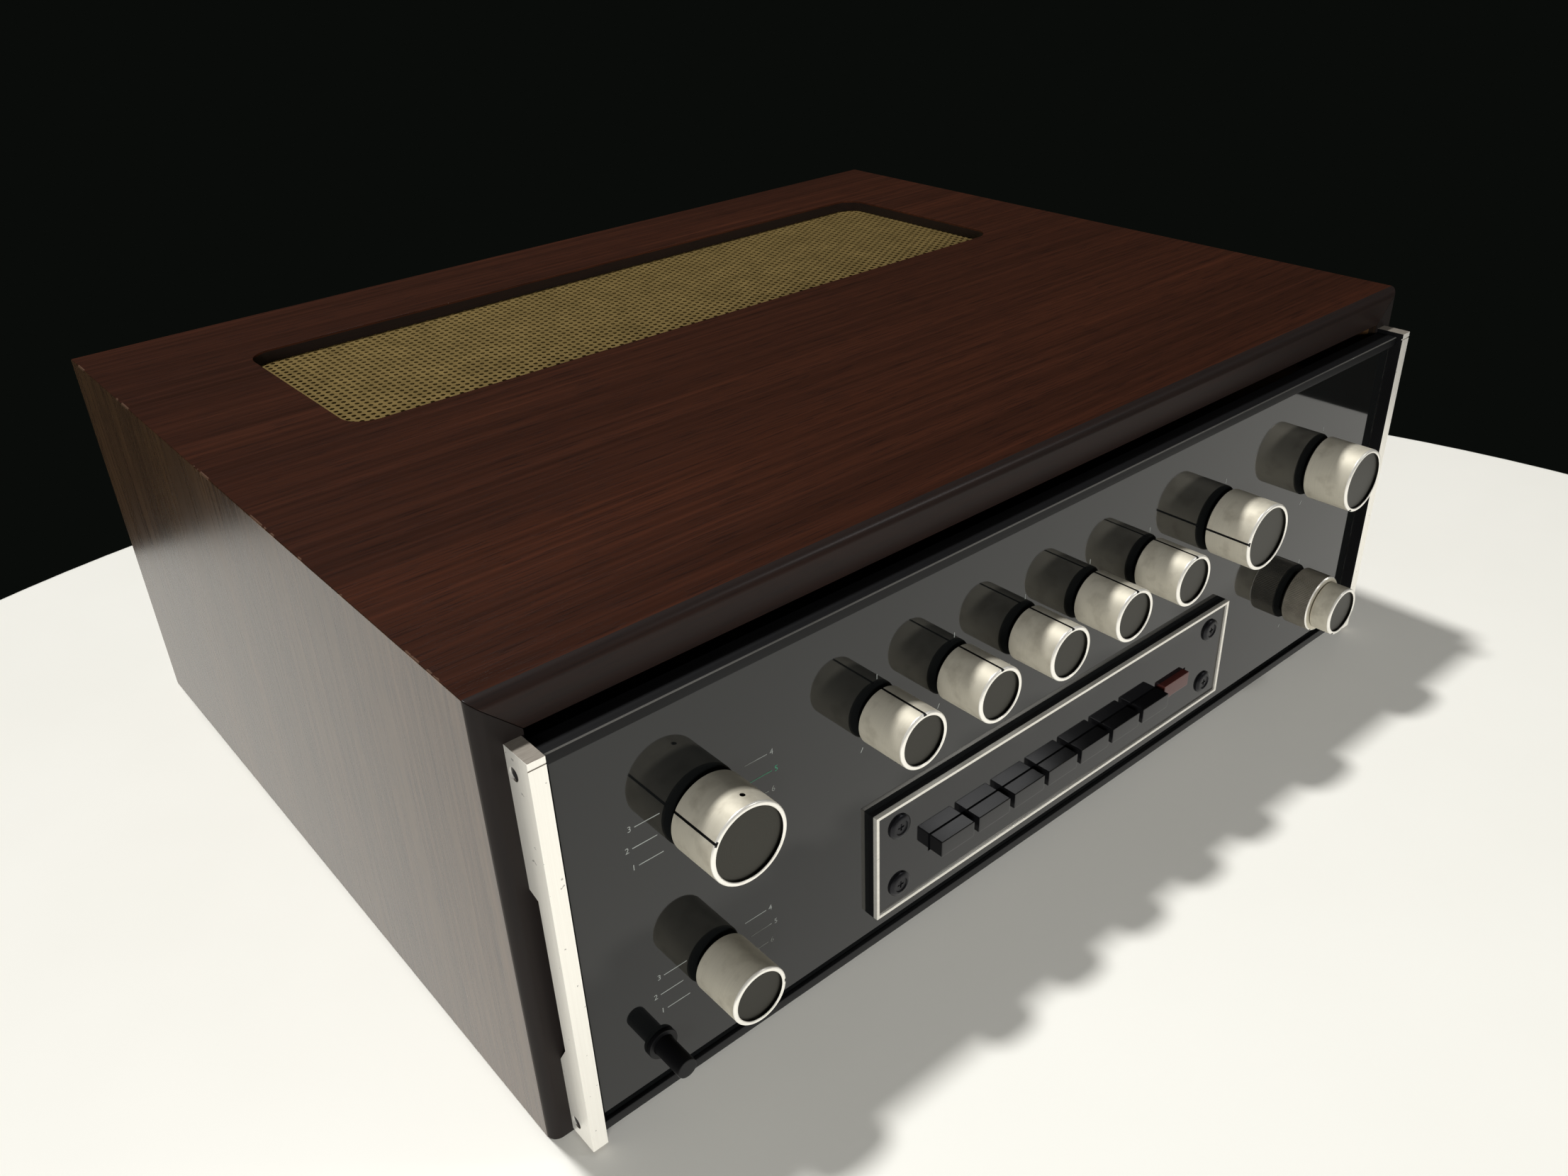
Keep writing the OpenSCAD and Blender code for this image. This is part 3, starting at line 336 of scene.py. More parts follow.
def walnut(name, grain, shades, dullness, sheen, face_lacquer, edge_lacquer):
    """Walnut veneer with its grain along one axis, 0 for X to 2 for Z, and its cut edges stained and
    painted with shade.
    """
    material, shader, root = new_finish(name, {"Specular IOR Level": sheen, "Coat Roughness": 0.3})
    bands = mottle(root, 1.0, 3.0, along_grain(grain, 26.0, 1.6))
    streaks = mottle(root, 1.0, 5.0, along_grain(grain, 420.0, 7.0))
    pores = mottle(root, 1.0, 2.0, along_grain(grain, 1700.0, 55.0))
    tone = bands * band_share + streaks * (1 - band_share)
    stops = [(position, colour(shade)) for position, shade in shades]
    figure = root.node("ShaderNodeValToRGB", {"stops": stops}, {"Fac": tone})
    open_pore = pores < pore_limit
    grained = blend(root, open_pore * pore_strength, figure, pore_dark)
    place = root.node("ShaderNodeTexCoord", {}, {}, "Object")
    across = root.node("ShaderNodeSeparateXYZ", {}, {0: place}, "X")
    inwards = root.node("ShaderNodeSeparateXYZ", {}, {0: place}, "Y")
    height = root.node("ShaderNodeSeparateXYZ", {}, {0: place}, "Z")
    from_side = abs(across - cabinet_low.x)
    from_top = abs(height - cabinet_high.z)
    nose = inwards - cabinet_low.y < nose_depth
    # The cut edges are the front nose and, on the top board, all below its top face, such as the slot's
    # walls.
    cut_edge = root.math("MAXIMUM", nose, from_top > cut_depth) if grain == 0 else nose
    # Their black is partly a stain and partly painted shade.
    stained_and_shaded = blend(root, cut_edge * stain_and_shade_strength, grained, black_stain_and_shade)
    corner = root.math("MAXIMUM", from_side, from_top) < rubbed_width
    patches = mottle(root, 75, 5.0) > rubbed_limit
    tint(root, shader, corner * patches * rubbed_strength, stained_and_shaded, rubbed_pale)
    (streaks * 0.16 + cut_edge * 0.3 + dullness).feed(shader.inputs["Roughness"])
    uneven_lacquer = (1.0 - cut_edge) * streaks * face_lacquer + cut_edge * edge_lacquer
    uneven_lacquer.feed(shader.inputs["Coat Weight"])
    relief(root, shader, streaks * 0.4 - open_pore * 0.6, 0.06 * mm, 0.3)
    return material


def hold(piece):
    """Takes up one piece, so that the next operator acts on it alone."""
    bpy.ops.object.select_all(action="DESELECT")
    bpy.context.view_layer.objects.active = piece
    piece.select_set(True)


def finish_piece(piece, materials, body, nodes):
    """Gives a piece its materials, and lets it ride and stand for CAD nodes."""
    piece.data.materials.clear()
    for material in materials:
        piece.data.materials.append(material)
    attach(piece, body)
    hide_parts(*nodes)


def eased_copy(node, ease, material):
    """A merged copy of a CAD node with its sharp edges eased, which stands for the node."""
    source = frame["nodes"][node]
    piece = bpy.data.objects.new(node + "_eased", source.data.copy())
    bpy.context.collection.objects.link(piece)
    hold(piece)
    bpy.ops.mesh.customdata_custom_splitnormals_clear()
    bpy.ops.object.mode_set(mode="EDIT")
    bpy.ops.mesh.select_all(action="SELECT")
    bpy.ops.mesh.remove_doubles(threshold=same_place)
    bpy.ops.mesh.dissolve_limited(angle_limit=flat_angle)
    bpy.ops.object.mode_set(mode="OBJECT")
    round_edges(piece, ease)
    finish_piece(piece, [material], source["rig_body"], [node])
    return piece


def face_apart(piece, finish, test):
    """Gives another finish to the faces of a piece whose direction passes a test."""
    piece.data.materials.append(finish)
    for face in piece.data.polygons:
        if test(face.normal):
            face.material_index = len(piece.data.materials) - 1


lengthwise_walnut = walnut(
    "walnut_along_the_top", grain=0, shades=top_shades, dullness=0.3, sheen=0.12,
    face_lacquer=0.0, edge_lacquer=0.22)
upright_walnut = walnut(
    "walnut_up_the_sides", grain=2, shades=side_shades_painted_lighter, dullness=0.2, sheen=0.4,
    face_lacquer=0.6, edge_lacquer=0.0)
# The side boards' front faces: black-brown, partly a stain and partly painted shade.
stained_and_shaded_edge, shader, root = new_finish("stained_and_shaded_front_edge", {"Specular IOR Level": 0.15})
edge_fibres = mottle(root, 1.0, 3.0, (300, 300, 12))
tint(root, shader, edge_fibres, black_stain_and_shade, brown_stain_and_shade)
roughen(shader, edge_fibres, 0.5, 0.6)
eased_copy("cabinet_top", board_ease, lengthwise_walnut)
for node in ("cabinet_left_side", "cabinet_right_side"):
    board = eased_copy(node, board_ease, upright_walnut)
    face_apart(board, stained_and_shaded_edge, lambda normal: normal.y < -front_slope)


# Bottom board: plain brown fibreboard let in between the sides and glued there.
# It is left raw, with a fine fibre speckle.
fibre_brown = (112, 84, 58)
fibre_dark = (86, 62, 42)
fibreboard, shader, root = new_finish("brown_fibreboard", {})
fibres = mottle(root, 1.0, 4.0, (900, 300, 900))
tint(root, shader, fibres, fibre_dark, fibre_brown)
roughen(shader, mottle(root, 120), 0.75, 0.85)
relief(root, shader, fibres, 0.1 * mm, 0.4)
eased_copy("cabinet_bottom", board_ease, fibreboard)


# Vent grille: thin steel sheet lacquered gold, punched with staggered round holes.
# It lies in a rebate under the top board, so that its plain border doesn't show.
hole_pitch = 3.4 * mm
row_pitch = hole_pitch * math.sqrt(3) / 2
hole_radius = 0.95 * mm
border_width = 5 * mm
border_lap = 2.5 * mm
hole_sides = 8
cell_seam = 0.01 * mm
grille_low, grille_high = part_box("vent_grille")
grille_middle = (grille_low + grille_high) / 2
grille_size = grille_high - grille_low
holes_in_row = int((grille_size.y - 2 * border_width) / hole_pitch)
hole_row_pairs = int((grille_size.x - 2 * border_width) / (2 * row_pitch))
gold_bright = (166, 142, 88)
gold_dull = (128, 108, 64)
cell_turn = (0, 0, math.pi / 6)
bpy.ops.object.select_all(action="DESELECT")
bpy.ops.mesh.primitive_circle_add(
    vertices=6, radius=hole_pitch / math.sqrt(3), fill_type="NOTHING", rotation=cell_turn)
grille = bpy.context.object
grille.name = "perforated_grille"
bpy.ops.object.transform_apply(rotation=True)
bpy.ops.object.mode_set(mode="EDIT")
bpy.ops.mesh.primitive_circle_add(vertices=hole_sides, radius=hole_radius, fill_type="NOTHING")
bpy.ops.mesh.select_all(action="SELECT")
bpy.ops.mesh.bridge_edge_loops()
bpy.ops.object.mode_set(mode="OBJECT")
repeats = (
    (holes_in_row, (0, hole_pitch, 0)),
    (2, (row_pitch, hole_pitch / 2, 0)),
    (hole_row_pairs, (2 * row_pitch, 0, 0)),
)
for count, step in repeats:
    array = grille.modifiers.new("repeat", "ARRAY")
    array.count = count
    array.use_relative_offset = False
    array.use_constant_offset = True
    array.constant_offset_displace = step
    array.use_merge_vertices = True
    array.merge_threshold = cell_seam
    bpy.ops.object.modifier_apply(modifier=array.name)
if grille.data.polygons[0].normal.z < 0:
    bpy.ops.object.mode_set(mode="EDIT")
    bpy.ops.mesh.select_all(action="SELECT")
    bpy.ops.mesh.flip_normals()
    bpy.ops.object.mode_set(mode="OBJECT")
sheet = grille.modifiers.new("sheet", "SOLIDIFY")
sheet.thickness = grille_size.z
sheet.offset = -1
bpy.ops.object.modifier_apply(modifier=sheet.name)
field_x = (2 * hole_row_pairs - 1) * row_pitch
field_y = (holes_in_row - 0.5) * hole_pitch
grille.location = (grille_middle.x - field_x / 2, grille_middle.y - field_y / 2, grille_high.z)
bpy.ops.object.transform_apply(location=True)
bpy.ops.object.select_all(action="DESELECT")
bpy.ops.mesh.primitive_plane_add(size=1)
border = bpy.context.object
border.scale = (grille_size.x, grille_size.y, 1)
border.location = (grille_middle.x, grille_middle.y, grille_middle.z + grille_size.z / 4)
bpy.ops.object.transform_apply(location=True, scale=True)
bpy.ops.object.mode_set(mode="EDIT")
bpy.ops.mesh.select_all(action="SELECT")
bpy.ops.mesh.inset(thickness=border_width + border_lap)
bpy.ops.mesh.delete(type="FACE")
bpy.ops.object.mode_set(mode="OBJECT")
sheet = border.modifiers.new("sheet", "SOLIDIFY")
sheet.thickness = grille_size.z / 2
sheet.offset = -1
bpy.ops.object.modifier_apply(modifier=sheet.name)
grille.select_set(True)
bpy.context.view_layer.objects.active = grille
bpy.ops.object.join()
gold, shader, root = new_finish("gold_lacquered_steel", {"Metallic": 0.75})
tarnish = mottle(root, 60, 4.0)
tint(root, shader, tarnish, gold_dull, gold_bright)
roughen(shader, mottle(root, 300), 0.36, 0.56)
finish_piece(grille, [gold], "cabinet", ["vent_grille"])


# Chassis: folded tray, vented cover and rear panel of zinc-plated steel, screwed together at the flanges.
# It slides into the cabinet from the front, and the two latch buttons hold it there.
sheet_ease = 0.2 * mm
zinc_light = (176, 178, 172)
zinc_dark = (140, 142, 138)
zinc, shader, root = new_finish("zinc_plated_steel", {"Metallic": 1.0})
spangle = root.node("ShaderNodeTexVoronoi", {}, {
    "Vector": root.node("ShaderNodeTexCoord", {}, {}, "Object"), "Scale": 190.0}, "Color")
spangle_tone = root.node("ShaderNodeSeparateColor", {}, {0: spangle}, 0)
clouds = mottle(root, 18)
tint(root, shader, spangle_tone * 0.5 + clouds * 0.5, zinc_dark, zinc_light)
(spangle_tone * 0.12 + clouds * 0.2 + 0.26).feed(shader.inputs["Roughness"])
eased_copy("chassis_tray", sheet_ease, zinc)
eased_copy("chassis_cover", sheet_ease, zinc)
eased_copy("front_subpanel", sheet_ease, zinc)
rear_grey = (92, 94, 94)
rear_grey_dark = (80, 82, 82)
rear_paint, shader, root = new_finish("grey_rear_paint", {})
tint(root, shader, mottle(root, 30), rear_grey_dark, rear_grey)
roughen(shader, mottle(root, 700), 0.45, 0.65)
relief(root, shader, mottle(root, 1400, 2.0), 0.05 * mm, 0.4)
eased_copy("rear_panel", sheet_ease, rear_paint)


# Phono sockets: nickel-plated barrels with a shoulder against the rear panel and a moulded insert
# that holds the pin sleeve. Each is turned, pushed through its hole and riveted behind.
socket_columns = 10
socket_shoulder = 6 * mm
socket_barrel = 4.15 * mm
socket_bore = 3.1 * mm
socket_pin = 1.6 * mm
shoulder_depth = 2 * mm
insert_depth = 2.5 * mm
shoulder_bevel = 0.4 * mm
barrel_bevel = 0.5 * mm
barrel_sides = 40
insert_sides = 32
turned_angle = math.radians(30)
turned_seam = 0.001 * mm
socket_low, socket_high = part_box("phono_sockets")
rear_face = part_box("rear_panel")[1].y
nickel_light = (206, 202, 190)
nickel_dark = (168, 163, 150)
insert_colours = ((222, 220, 210), (150, 30, 26))


def turned(name, stations, sides, bored=False):
    """Draws a ring out along Y through stations of radius and depth, as work is turned on a lathe."""
    bpy.ops.object.select_all(action="DESELECT")
    radius, depth = stations[0]
    start = "NOTHING" if bored else "NGON"
    upright = (math.pi / 2, 0, 0)
    bpy.ops.mesh.primitive_circle_add(vertices=sides, radius=radius, fill_type=start, rotation=upright)
    piece = bpy.context.object
    piece.name = name
    piece.location = (0, depth, 0)
    bpy.ops.object.transform_apply(location=True, rotation=True)
    bpy.ops.object.mode_set(mode="EDIT")
    bpy.ops.mesh.select_all(action="SELECT")
    for next_radius, next_depth in stations[1:]:
        shift = {"value": (0, next_depth - depth, 0)}
        bpy.ops.mesh.extrude_region_move(TRANSFORM_OT_translate=shift)
        growth = next_radius / radius
        bpy.ops.transform.resize(value=(growth, 1, growth), center_override=(0, next_depth, 0))
        radius, depth = next_radius, next_depth
    bpy.ops.mesh.select_all(action="SELECT")
    bpy.ops.mesh.remove_doubles(threshold=turned_seam)
    bpy.ops.mesh.normals_make_consistent(inside=False)
    bpy.ops.object.mode_set(mode="OBJECT")
    bpy.ops.object.shade_smooth_by_angle(angle=turned_angle)
    return piece


def copies(master, places):
    """Copies a piece, made on the Y axis, to places on the panel, and joins the copies."""
    made = []
    for place_x, place_z in places:
        hold(master)
        bpy.ops.object.duplicate()
        copy = bpy.context.object
        copy.location = (place_x, 0, place_z)
        bpy.ops.object.transform_apply(location=True)
        made.append(copy)
    hold(made[0])
    for copy in made:
        copy.select_set(True)
    bpy.ops.object.join()
    bpy.data.objects.remove(master)
    return bpy.context.object


socket_end = socket_high.y
socket_step = (socket_high.x - socket_low.x - 2 * socket_shoulder) / (socket_columns - 1)
socket_xs = [socket_low.x + socket_shoulder + i * socket_step for i in range(socket_columns)]
socket_zs = [socket_low.z + socket_shoulder, socket_high.z - socket_shoulder]
barrel_stations = [
    (socket_bore, rear_face), (socket_shoulder, rear_face),
    (socket_shoulder, rear_face + shoulder_depth - shoulder_bevel),
    (socket_shoulder - shoulder_bevel, rear_face + shoulder_depth),
    (socket_barrel, rear_face + shoulder_depth), (socket_barrel, socket_end - barrel_bevel),
    (socket_barrel - barrel_bevel, socket_end), (socket_bore, socket_end), (socket_bore, rear_face),
]
nickel, shader, root = new_finish("nickel_plate", {"Metallic": 1.0})
stain = mottle(root, 220, 4.0)
tint(root, shader, stain, nickel_dark, nickel_light)
roughen(shader, stain, 0.16, 0.36)
barrel = turned("socket_barrel", barrel_stations, barrel_sides, True)
barrels = copies(barrel, [(x, z) for x in socket_xs for z in socket_zs])
barrels.name = "phono_socket_barrels"
finish_piece(barrels, [nickel], "chassis", ["phono_sockets"])
insert_edge = socket_end - insert_depth
insert_end = insert_edge + shoulder_bevel
insert_stations = [
    (socket_pin, rear_face), (socket_bore, rear_face), (socket_bore, insert_edge),
    (socket_bore - shoulder_bevel, insert_end), (socket_pin, insert_end), (socket_pin, rear_face),
]
for row, shade in enumerate(insert_colours):
    moulding, shader, root = new_finish("socket_moulding_" + str(row + 1), {})
    grey = [level * 0.8 for level in shade]
    tint(root, shader, mottle(root, 500), shade, grey)
    roughen(shader, mottle(root, 900), 0.3, 0.5)
    insert = turned("socket_insert", insert_stations, insert_sides, True)
    inserts = copies(insert, [(x, socket_zs[1 - row]) for x in socket_xs])
    inserts.name = "phono_socket_inserts_" + str(row + 1)
    finish_piece(inserts, [moulding], "chassis", [])


# Cord gland: a black rubber bush in the rear panel that the mains cord passes through.
# It is moulded with a flange outside and pushed in from behind.
gland_ease = 0.6 * mm
rubber_black = (26, 26, 27)
rubber_grey = (38, 38, 38)
rubber, shader, root = new_finish("gland_rubber", {})
bloom = mottle(root, 260, 4.0)
tint(root, shader, bloom, rubber_black, rubber_grey)
roughen(shader, bloom, 0.6, 0.8)
eased_copy("cord_gland", gland_ease, rubber)


# Works on the chassis floor: the transformer with its stacked iron core, the green circuit board on
# its pillars, and four filter capacitors in shrunk sleeves, soldered to the board.
def keep_node(node, material):
    """Leaves a CAD node in place and gives it a finish."""
    for slot in frame["nodes"][node].material_slots:
        slot.material = material


core_ease = 0.8 * mm
sleeve_ease = 1.2 * mm
core_grey = (62, 60, 58)
core_rust = (84, 68, 56)
iron, shader, root = new_finish("stacked_core_iron", {"Metallic": 0.6})
layers = mottle(root, 1.0, 2.0, (8, 2200, 8))
tint(root, shader, layers * 0.6 + mottle(root, 50) * 0.4, core_grey, core_rust)
roughen(shader, layers, 0.45, 0.65)
relief(root, shader, layers, 0.15 * mm)
eased_copy("power_transformer", core_ease, iron)
board_green = (22, 74, 46)
board_light = (40, 104, 66)
lacquer_board, shader, root = new_finish("green_circuit_board", {})
trace_noise = mottle(root, 1.0, 1.0, (180, 45, 45)) > 0.52
tint(root, shader, trace_noise * 0.8, board_green, board_light)
roughen(shader, mottle(root, 90), 0.3, 0.45)
relief(root, shader, trace_noise, 0.05 * mm)
keep_node("main_circuit_board", lacquer_board)
sleeve_blue = (24, 40, 84)
sleeve_dark = (16, 28, 62)
sleeve, shader, root = new_finish("capacitor_sleeve", {})
wrinkles = mottle(root, 1.0, 3.0, (120, 120, 30))
tint(root, shader, wrinkles, sleeve_dark, sleeve_blue)
roughen(shader, wrinkles, 0.22, 0.42)
eased_copy("filter_capacitors", sleeve_ease, sleeve)


# Controls behind the panel: potentiometers in pressed cases, selectors with wafers of brown phenolic,
# and the grey bank of push switches. Their bushes are nutted to the chassis front.
wafer_ease = 0.2 * mm
case_ease = 0.4 * mm
phenolic_brown = (120, 78, 42)
phenolic_dark = (92, 58, 30)
phenolic, shader, root = new_finish("brown_phenolic", {})
paper = mottle(root, 500, 4.0)
tint(root, shader, paper, phenolic_dark, phenolic_brown)
roughen(shader, paper, 0.35, 0.55)
eased_copy("rotary_switches", wafer_ease, phenolic)
bank_grey = (70, 71, 72)
bank_dark = (58, 59, 60)
bank_case, shader, root = new_finish("switch_case_moulding", {})
tint(root, shader, mottle(root, 200), bank_dark, bank_grey)
roughen(shader, mottle(root, 600), 0.45, 0.65)
eased_copy("switch_bank", case_ease, bank_case)
case_light = (184, 182, 172)
case_dark = (150, 148, 140)
pressed_case, shader, root = new_finish("pressed_control_case", {"Metallic": 1.0})
press_marks = mottle(root, 150, 4.0)
tint(root, shader, press_marks, case_dark, case_light)
roughen(shader, press_marks, 0.3, 0.5)
eased_copy("potentiometers", case_ease, pressed_case)
shaft_light = (190, 190, 188)
shaft_dark = (150, 150, 150)
shaft_steel, shader, root = new_finish("ground_shaft_steel", {"Metallic": 1.0})
grinding = mottle(root, 1.0, 2.0, (300, 3000, 300))
tint(root, shader, grinding, shaft_dark, shaft_light)
roughen(shader, grinding, 0.22, 0.37)
for node in frame["nodes"]:
    if "_shaft" in node and node != "shaft_washers":
        keep_node(node, shaft_steel)


# Front glass: a plate of float glass with black enamel fired on its back, ground at the edges.
# It lies against the sub-panel, and the two rails and the end caps hold it there.
enamel_black = (10, 11, 11)
enamel_soft = (15, 16, 16)
glass, shader, root = new_finish("black_backed_glass", {"IOR": 1.52})
tint(root, shader, mottle(root, 25), enamel_black, enamel_soft)
film = mottle(root, 14, 4.0)
roughen(shader, film, 0.015, 0.065)
keep_node("glass_panel", glass)


# Printed legend: thin lines and plain numbers screened on the glass in pale ink, one pair in green.
# It only tells the positions of the selectors and the travel of the other knobs.
ink_film = 0.04 * mm
line_width = 0.3 * mm
number_height = 2.7 * mm
number_gap = 0.6 * number_height
number_steps = 4
leader_rows = (6.5 * mm, 0.0, -6.5 * mm)
leader_start = 3 * mm
leader_length = 8 * mm
tick_start = 2.2 * mm
tick_length = 1.8 * mm
tick_angles = (-150, 0, 150)
glass_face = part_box("glass_panel")[0].y
pale_ink = (148, 152, 147)
pale_ink_worn = (92, 95, 92)
green_ink = (52, 158, 116)
green_ink_worn = (34, 104, 78)


def printed_lines(name, lines):
    """Thin lines on the glass, each with its middle, its length and its slope from upright."""
    bpy.ops.object.select_all(action="DESELECT")
    bpy.ops.mesh.primitive_plane_add(size=1)
    piece = bpy.context.object
    piece.name = name
    bpy.ops.object.mode_set(mode="EDIT")
    bpy.ops.mesh.delete(type="VERT")
    for middle_x, middle_z, length, slope in lines:
        bpy.ops.mesh.primitive_cube_add(
            size=1, location=(middle_x, glass_face - ink_film / 2, middle_z),
            rotation=(0, slope, 0), scale=(line_width, ink_film, length))
    bpy.ops.object.mode_set(mode="OBJECT")
    return piece


def printed_numbers(piece, numbers):
    """Plain numbers on the glass, each with its middle, joined to a piece."""
    for text, middle_x, middle_z in numbers:
        bpy.ops.object.select_all(action="DESELECT")
        bpy.ops.object.text_add()
        number = bpy.context.object
        number.data.body = text
        number.data.size = number_height
        number.data.extrude = ink_film / 2
        number.data.align_x = "CENTER"
        number.data.align_y = "CENTER"
        number.data.resolution_u = number_steps
        bpy.ops.object.convert(target="MESH")
        number.rotation_euler = (math.pi / 2, 0, 0)
        number.location = (middle_x, glass_face - ink_film / 2, middle_z)
        bpy.ops.object.transform_apply(location=True, rotation=True)
        piece.select_set(True)
        bpy.context.view_layer.objects.active = piece
        bpy.ops.object.join()


pale_lines = []
pale_numbers = []
green_lines = []
green_numbers = []
for node in ("input_selector_knob", "mode_selector_knob"):
    low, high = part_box(node)
    middle_x = (low.x + high.x) / 2
    middle_z = (low.z + high.z) / 2
    reach = (high.z - low.z) / 2 + leader_start
    for row, rise in enumerate(leader_rows):
        for side, text in ((-1, str(3 - row)), (1, str(4 + row))):
            near = math.sqrt(reach ** 2 - rise ** 2)
            line_x = middle_x + side * (near + leader_length / 2)
            number_x = middle_x + side * (near + leader_length + number_gap)
            line = (line_x, middle_z + rise, leader_length, math.pi / 2)
            number = (text, number_x, middle_z + rise)
            is_green = node == "input_selector_knob" and text == "5"
            (green_lines if is_green else pale_lines).append(line)
            (green_numbers if is_green else pale_numbers).append(number)
tone_knobs = ["tone_knob_" + str(number) for number in range(1, 6)]
for node in tone_knobs + ["loudness_knob", "volume_knob", "dual_ring_knob"]:
    low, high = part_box(node)
    middle_x = (low.x + high.x) / 2
    middle_z = (low.z + high.z) / 2
    reach = (high.x - low.x) / 2 + tick_start + tick_length / 2
    for degrees in tick_angles:
        slope = math.radians(degrees)
        pale_lines.append((middle_x + reach * math.sin(slope), middle_z + reach * math.cos(slope),
                           tick_length, slope))
inks = (
    ("panel_legend", pale_lines, pale_numbers, pale_ink, pale_ink_worn),
    ("green_legend", green_lines, green_numbers, green_ink, green_ink_worn),
)
for legend_name, lines, numbers, ink_colour, worn_colour in inks:
    legend = printed_lines(legend_name, lines)
    printed_numbers(legend, numbers)
    ink, shader, root = new_finish(legend_name + "_ink", {})
    tint(root, shader, mottle(root, 350, 4.0), worn_colour, ink_colour)
    roughen(shader, mottle(root, 200), 0.4, 0.5)
    finish_piece(legend, [ink], "chassis", [])


# Rails above and below the glass: black anodised aluminium angles, drawn and cut to length.
# Their lips hold the glass, and the top one's upper front edge is painted lighter in patches, a painted
# highlight.
bar_ease = 0.35 * mm
anodised_black = (9, 9, 10)
anodised_grey = (15, 15, 16)
anodised, shader, root = new_finish("black_anodised_rail", {"Specular IOR Level": 0.2})
drawing = mottle(root, 1.0, 3.0, (6, 900, 900))
tint(root, shader, drawing, anodised_black, anodised_grey)
roughen(shader, drawing, 0.4, 0.55)
# Painted highlight on the top rail's upper front edge, lighter grey in patches.
highlight_grey = (122, 120, 115)
rail_highlight, shader, root = new_finish("painted_highlight_rail_edge", {"Specular IOR Level": 0.2})
highlight_patches = mottle(root, 1.0, 3.0, (9, 300, 300))
tint(root, shader, highlight_patches * 0.9, anodised_black, highlight_grey)
(highlight_patches * 0.6).feed(shader.inputs["Metallic"])
roughen(shader, highlight_patches, 0.3, 0.4)
eased_copy("bottom_rail", bar_ease, anodised)
rail = eased_copy("top_rail", bar_ease, anodised)
face_apart(rail, rail_highlight, lambda normal: normal.y < -front_slope and normal.z > front_slope)


# End caps: bars of satin aluminium at both ends of the panel, milled, brushed along their length
# and screwed to the sub-panel's flanges from the side. The sides that meet the glass are black,
# partly black paint and partly painted shade, and the sawn ends are darker, partly a duller
# sawn finish and partly painted shade.
screw_ease = 0.2 * mm
squarely = 0.9
satin_light = (252, 249, 240)
satin_dark = (240, 236, 226)
knock_grey = (120, 117, 110)
satin, shader, root = new_finish("satin_aluminium", {"Metallic": 0.62})
brushing = mottle(root, 1.0, 3.0, (2600, 2600, 40))
brushed = blend(root, brushing, satin_dark, satin_light)
knocks = mottle(root, 420, 3.0) > 0.70
tint(root, shader, knocks * 0.6, brushed, knock_grey)
roughen(shader, brushing, 0.3, 0.42)
relief(root, shader, brushing - knocks * 0.8, 0.02 * mm, 0.5)
# The sawn ends are darker: partly a duller finish, partly painted shade.
sawn_shaded_light = (176, 168, 156)
sawn_shaded_dark = (146, 138, 127)
sawn_and_shaded, shader, root = new_finish("sawn_and_shaded_bar_end", {"Metallic": 0.5})
saw_marks = mottle(root, 1.0, 2.0, (300, 2400, 300))
tint(root, shader, saw_marks, sawn_shaded_dark, sawn_shaded_light)
roughen(shader, saw_marks, 0.35, 0.5)
for node, inward in (("left_end_cap", 1), ("right_end_cap", -1)):
    cap = eased_copy(node, bar_ease, satin)
    # The inner sides are black: partly black paint, partly painted shade.
    face_apart(cap, anodised, lambda normal: normal.x * inward > squarely)
    face_apart(cap, sawn_and_shaded, lambda normal: abs(normal.z) > squarely)
blued_black = (24, 24, 26)
blued_grey = (42, 42, 45)
blued, shader, root = new_finish("black_screw_steel", {"Metallic": 0.7})
blueing = mottle(root, 400, 4.0)
tint(root, shader, blueing, blued_black, blued_grey)
roughen(shader, blueing, 0.25, 0.45)
eased_copy("end_cap_screws", screw_ease, blued)


# Button plate: a moulded block with a gloss black face, and a bright rim pressed round its front.
# Four screws hold it through the glass to the chassis.
plate_ease = 0.25 * mm
trim_ease = 0.2 * mm
gloss_black = (9, 9, 10)
gloss_soft = (15, 15, 16)
gloss, shader, root = new_finish("gloss_black_plate", {"IOR": 1.52})
tint(root, shader, mottle(root, 60), gloss_black, gloss_soft)
roughen(shader, mottle(root, 25, 4.0), 0.03, 0.09)
plate = eased_copy("button_plate", plate_ease, gloss)
face_apart(plate, anodised, lambda normal: normal.y > -squarely)
bright_light = (240, 237, 228)
bright_dark = (214, 210, 198)
bright, shader, root = new_finish("bright_rim_metal", {"Metallic": 0.6})
polish = mottle(root, 1.0, 3.0, (60, 1200, 1200))
tint(root, shader, polish, bright_dark, bright_light)
roughen(shader, polish, 0.24, 0.38)
eased_copy("button_plate_trim", trim_ease, bright)


# Plate screws: black round heads with a ring turned round a sunk middle and a cross slot in it,
# in the corners of the button plate. The heads are turned, and the slot is punched in.
screw_low, screw_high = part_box("button_plate_screws")
plate_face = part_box("button_plate")[0].y
screw_radius = 4.5 * mm
screw_height = plate_face - screw_low.y
recess_length = 2.6 * mm
recess_width = 0.7 * mm
recess_depth = 0.8 * mm
screw_xs = (screw_low.x + screw_radius, screw_high.x - screw_radius)
screw_zs = (screw_low.z + screw_radius, screw_high.z - screw_radius)
ring_radius = 3.2 * mm
sunk_radius = 2.5 * mm
sunk_depth = 0.4 * mm
head_sides = 48
drill_sides = 24
head_profile = (
    (screw_radius, 0), (screw_radius, 0.4), (screw_radius - 0.25 * mm, 0.65),
    (ring_radius + 0.5 * mm, 0.92), (ring_radius, 1), (sunk_radius + 0.2 * mm, 1),
)
head_stations = [(radius, plate_face - rise * screw_height) for radius, rise in head_profile]
head_stations.append((sunk_radius, plate_face - screw_height + sunk_depth))


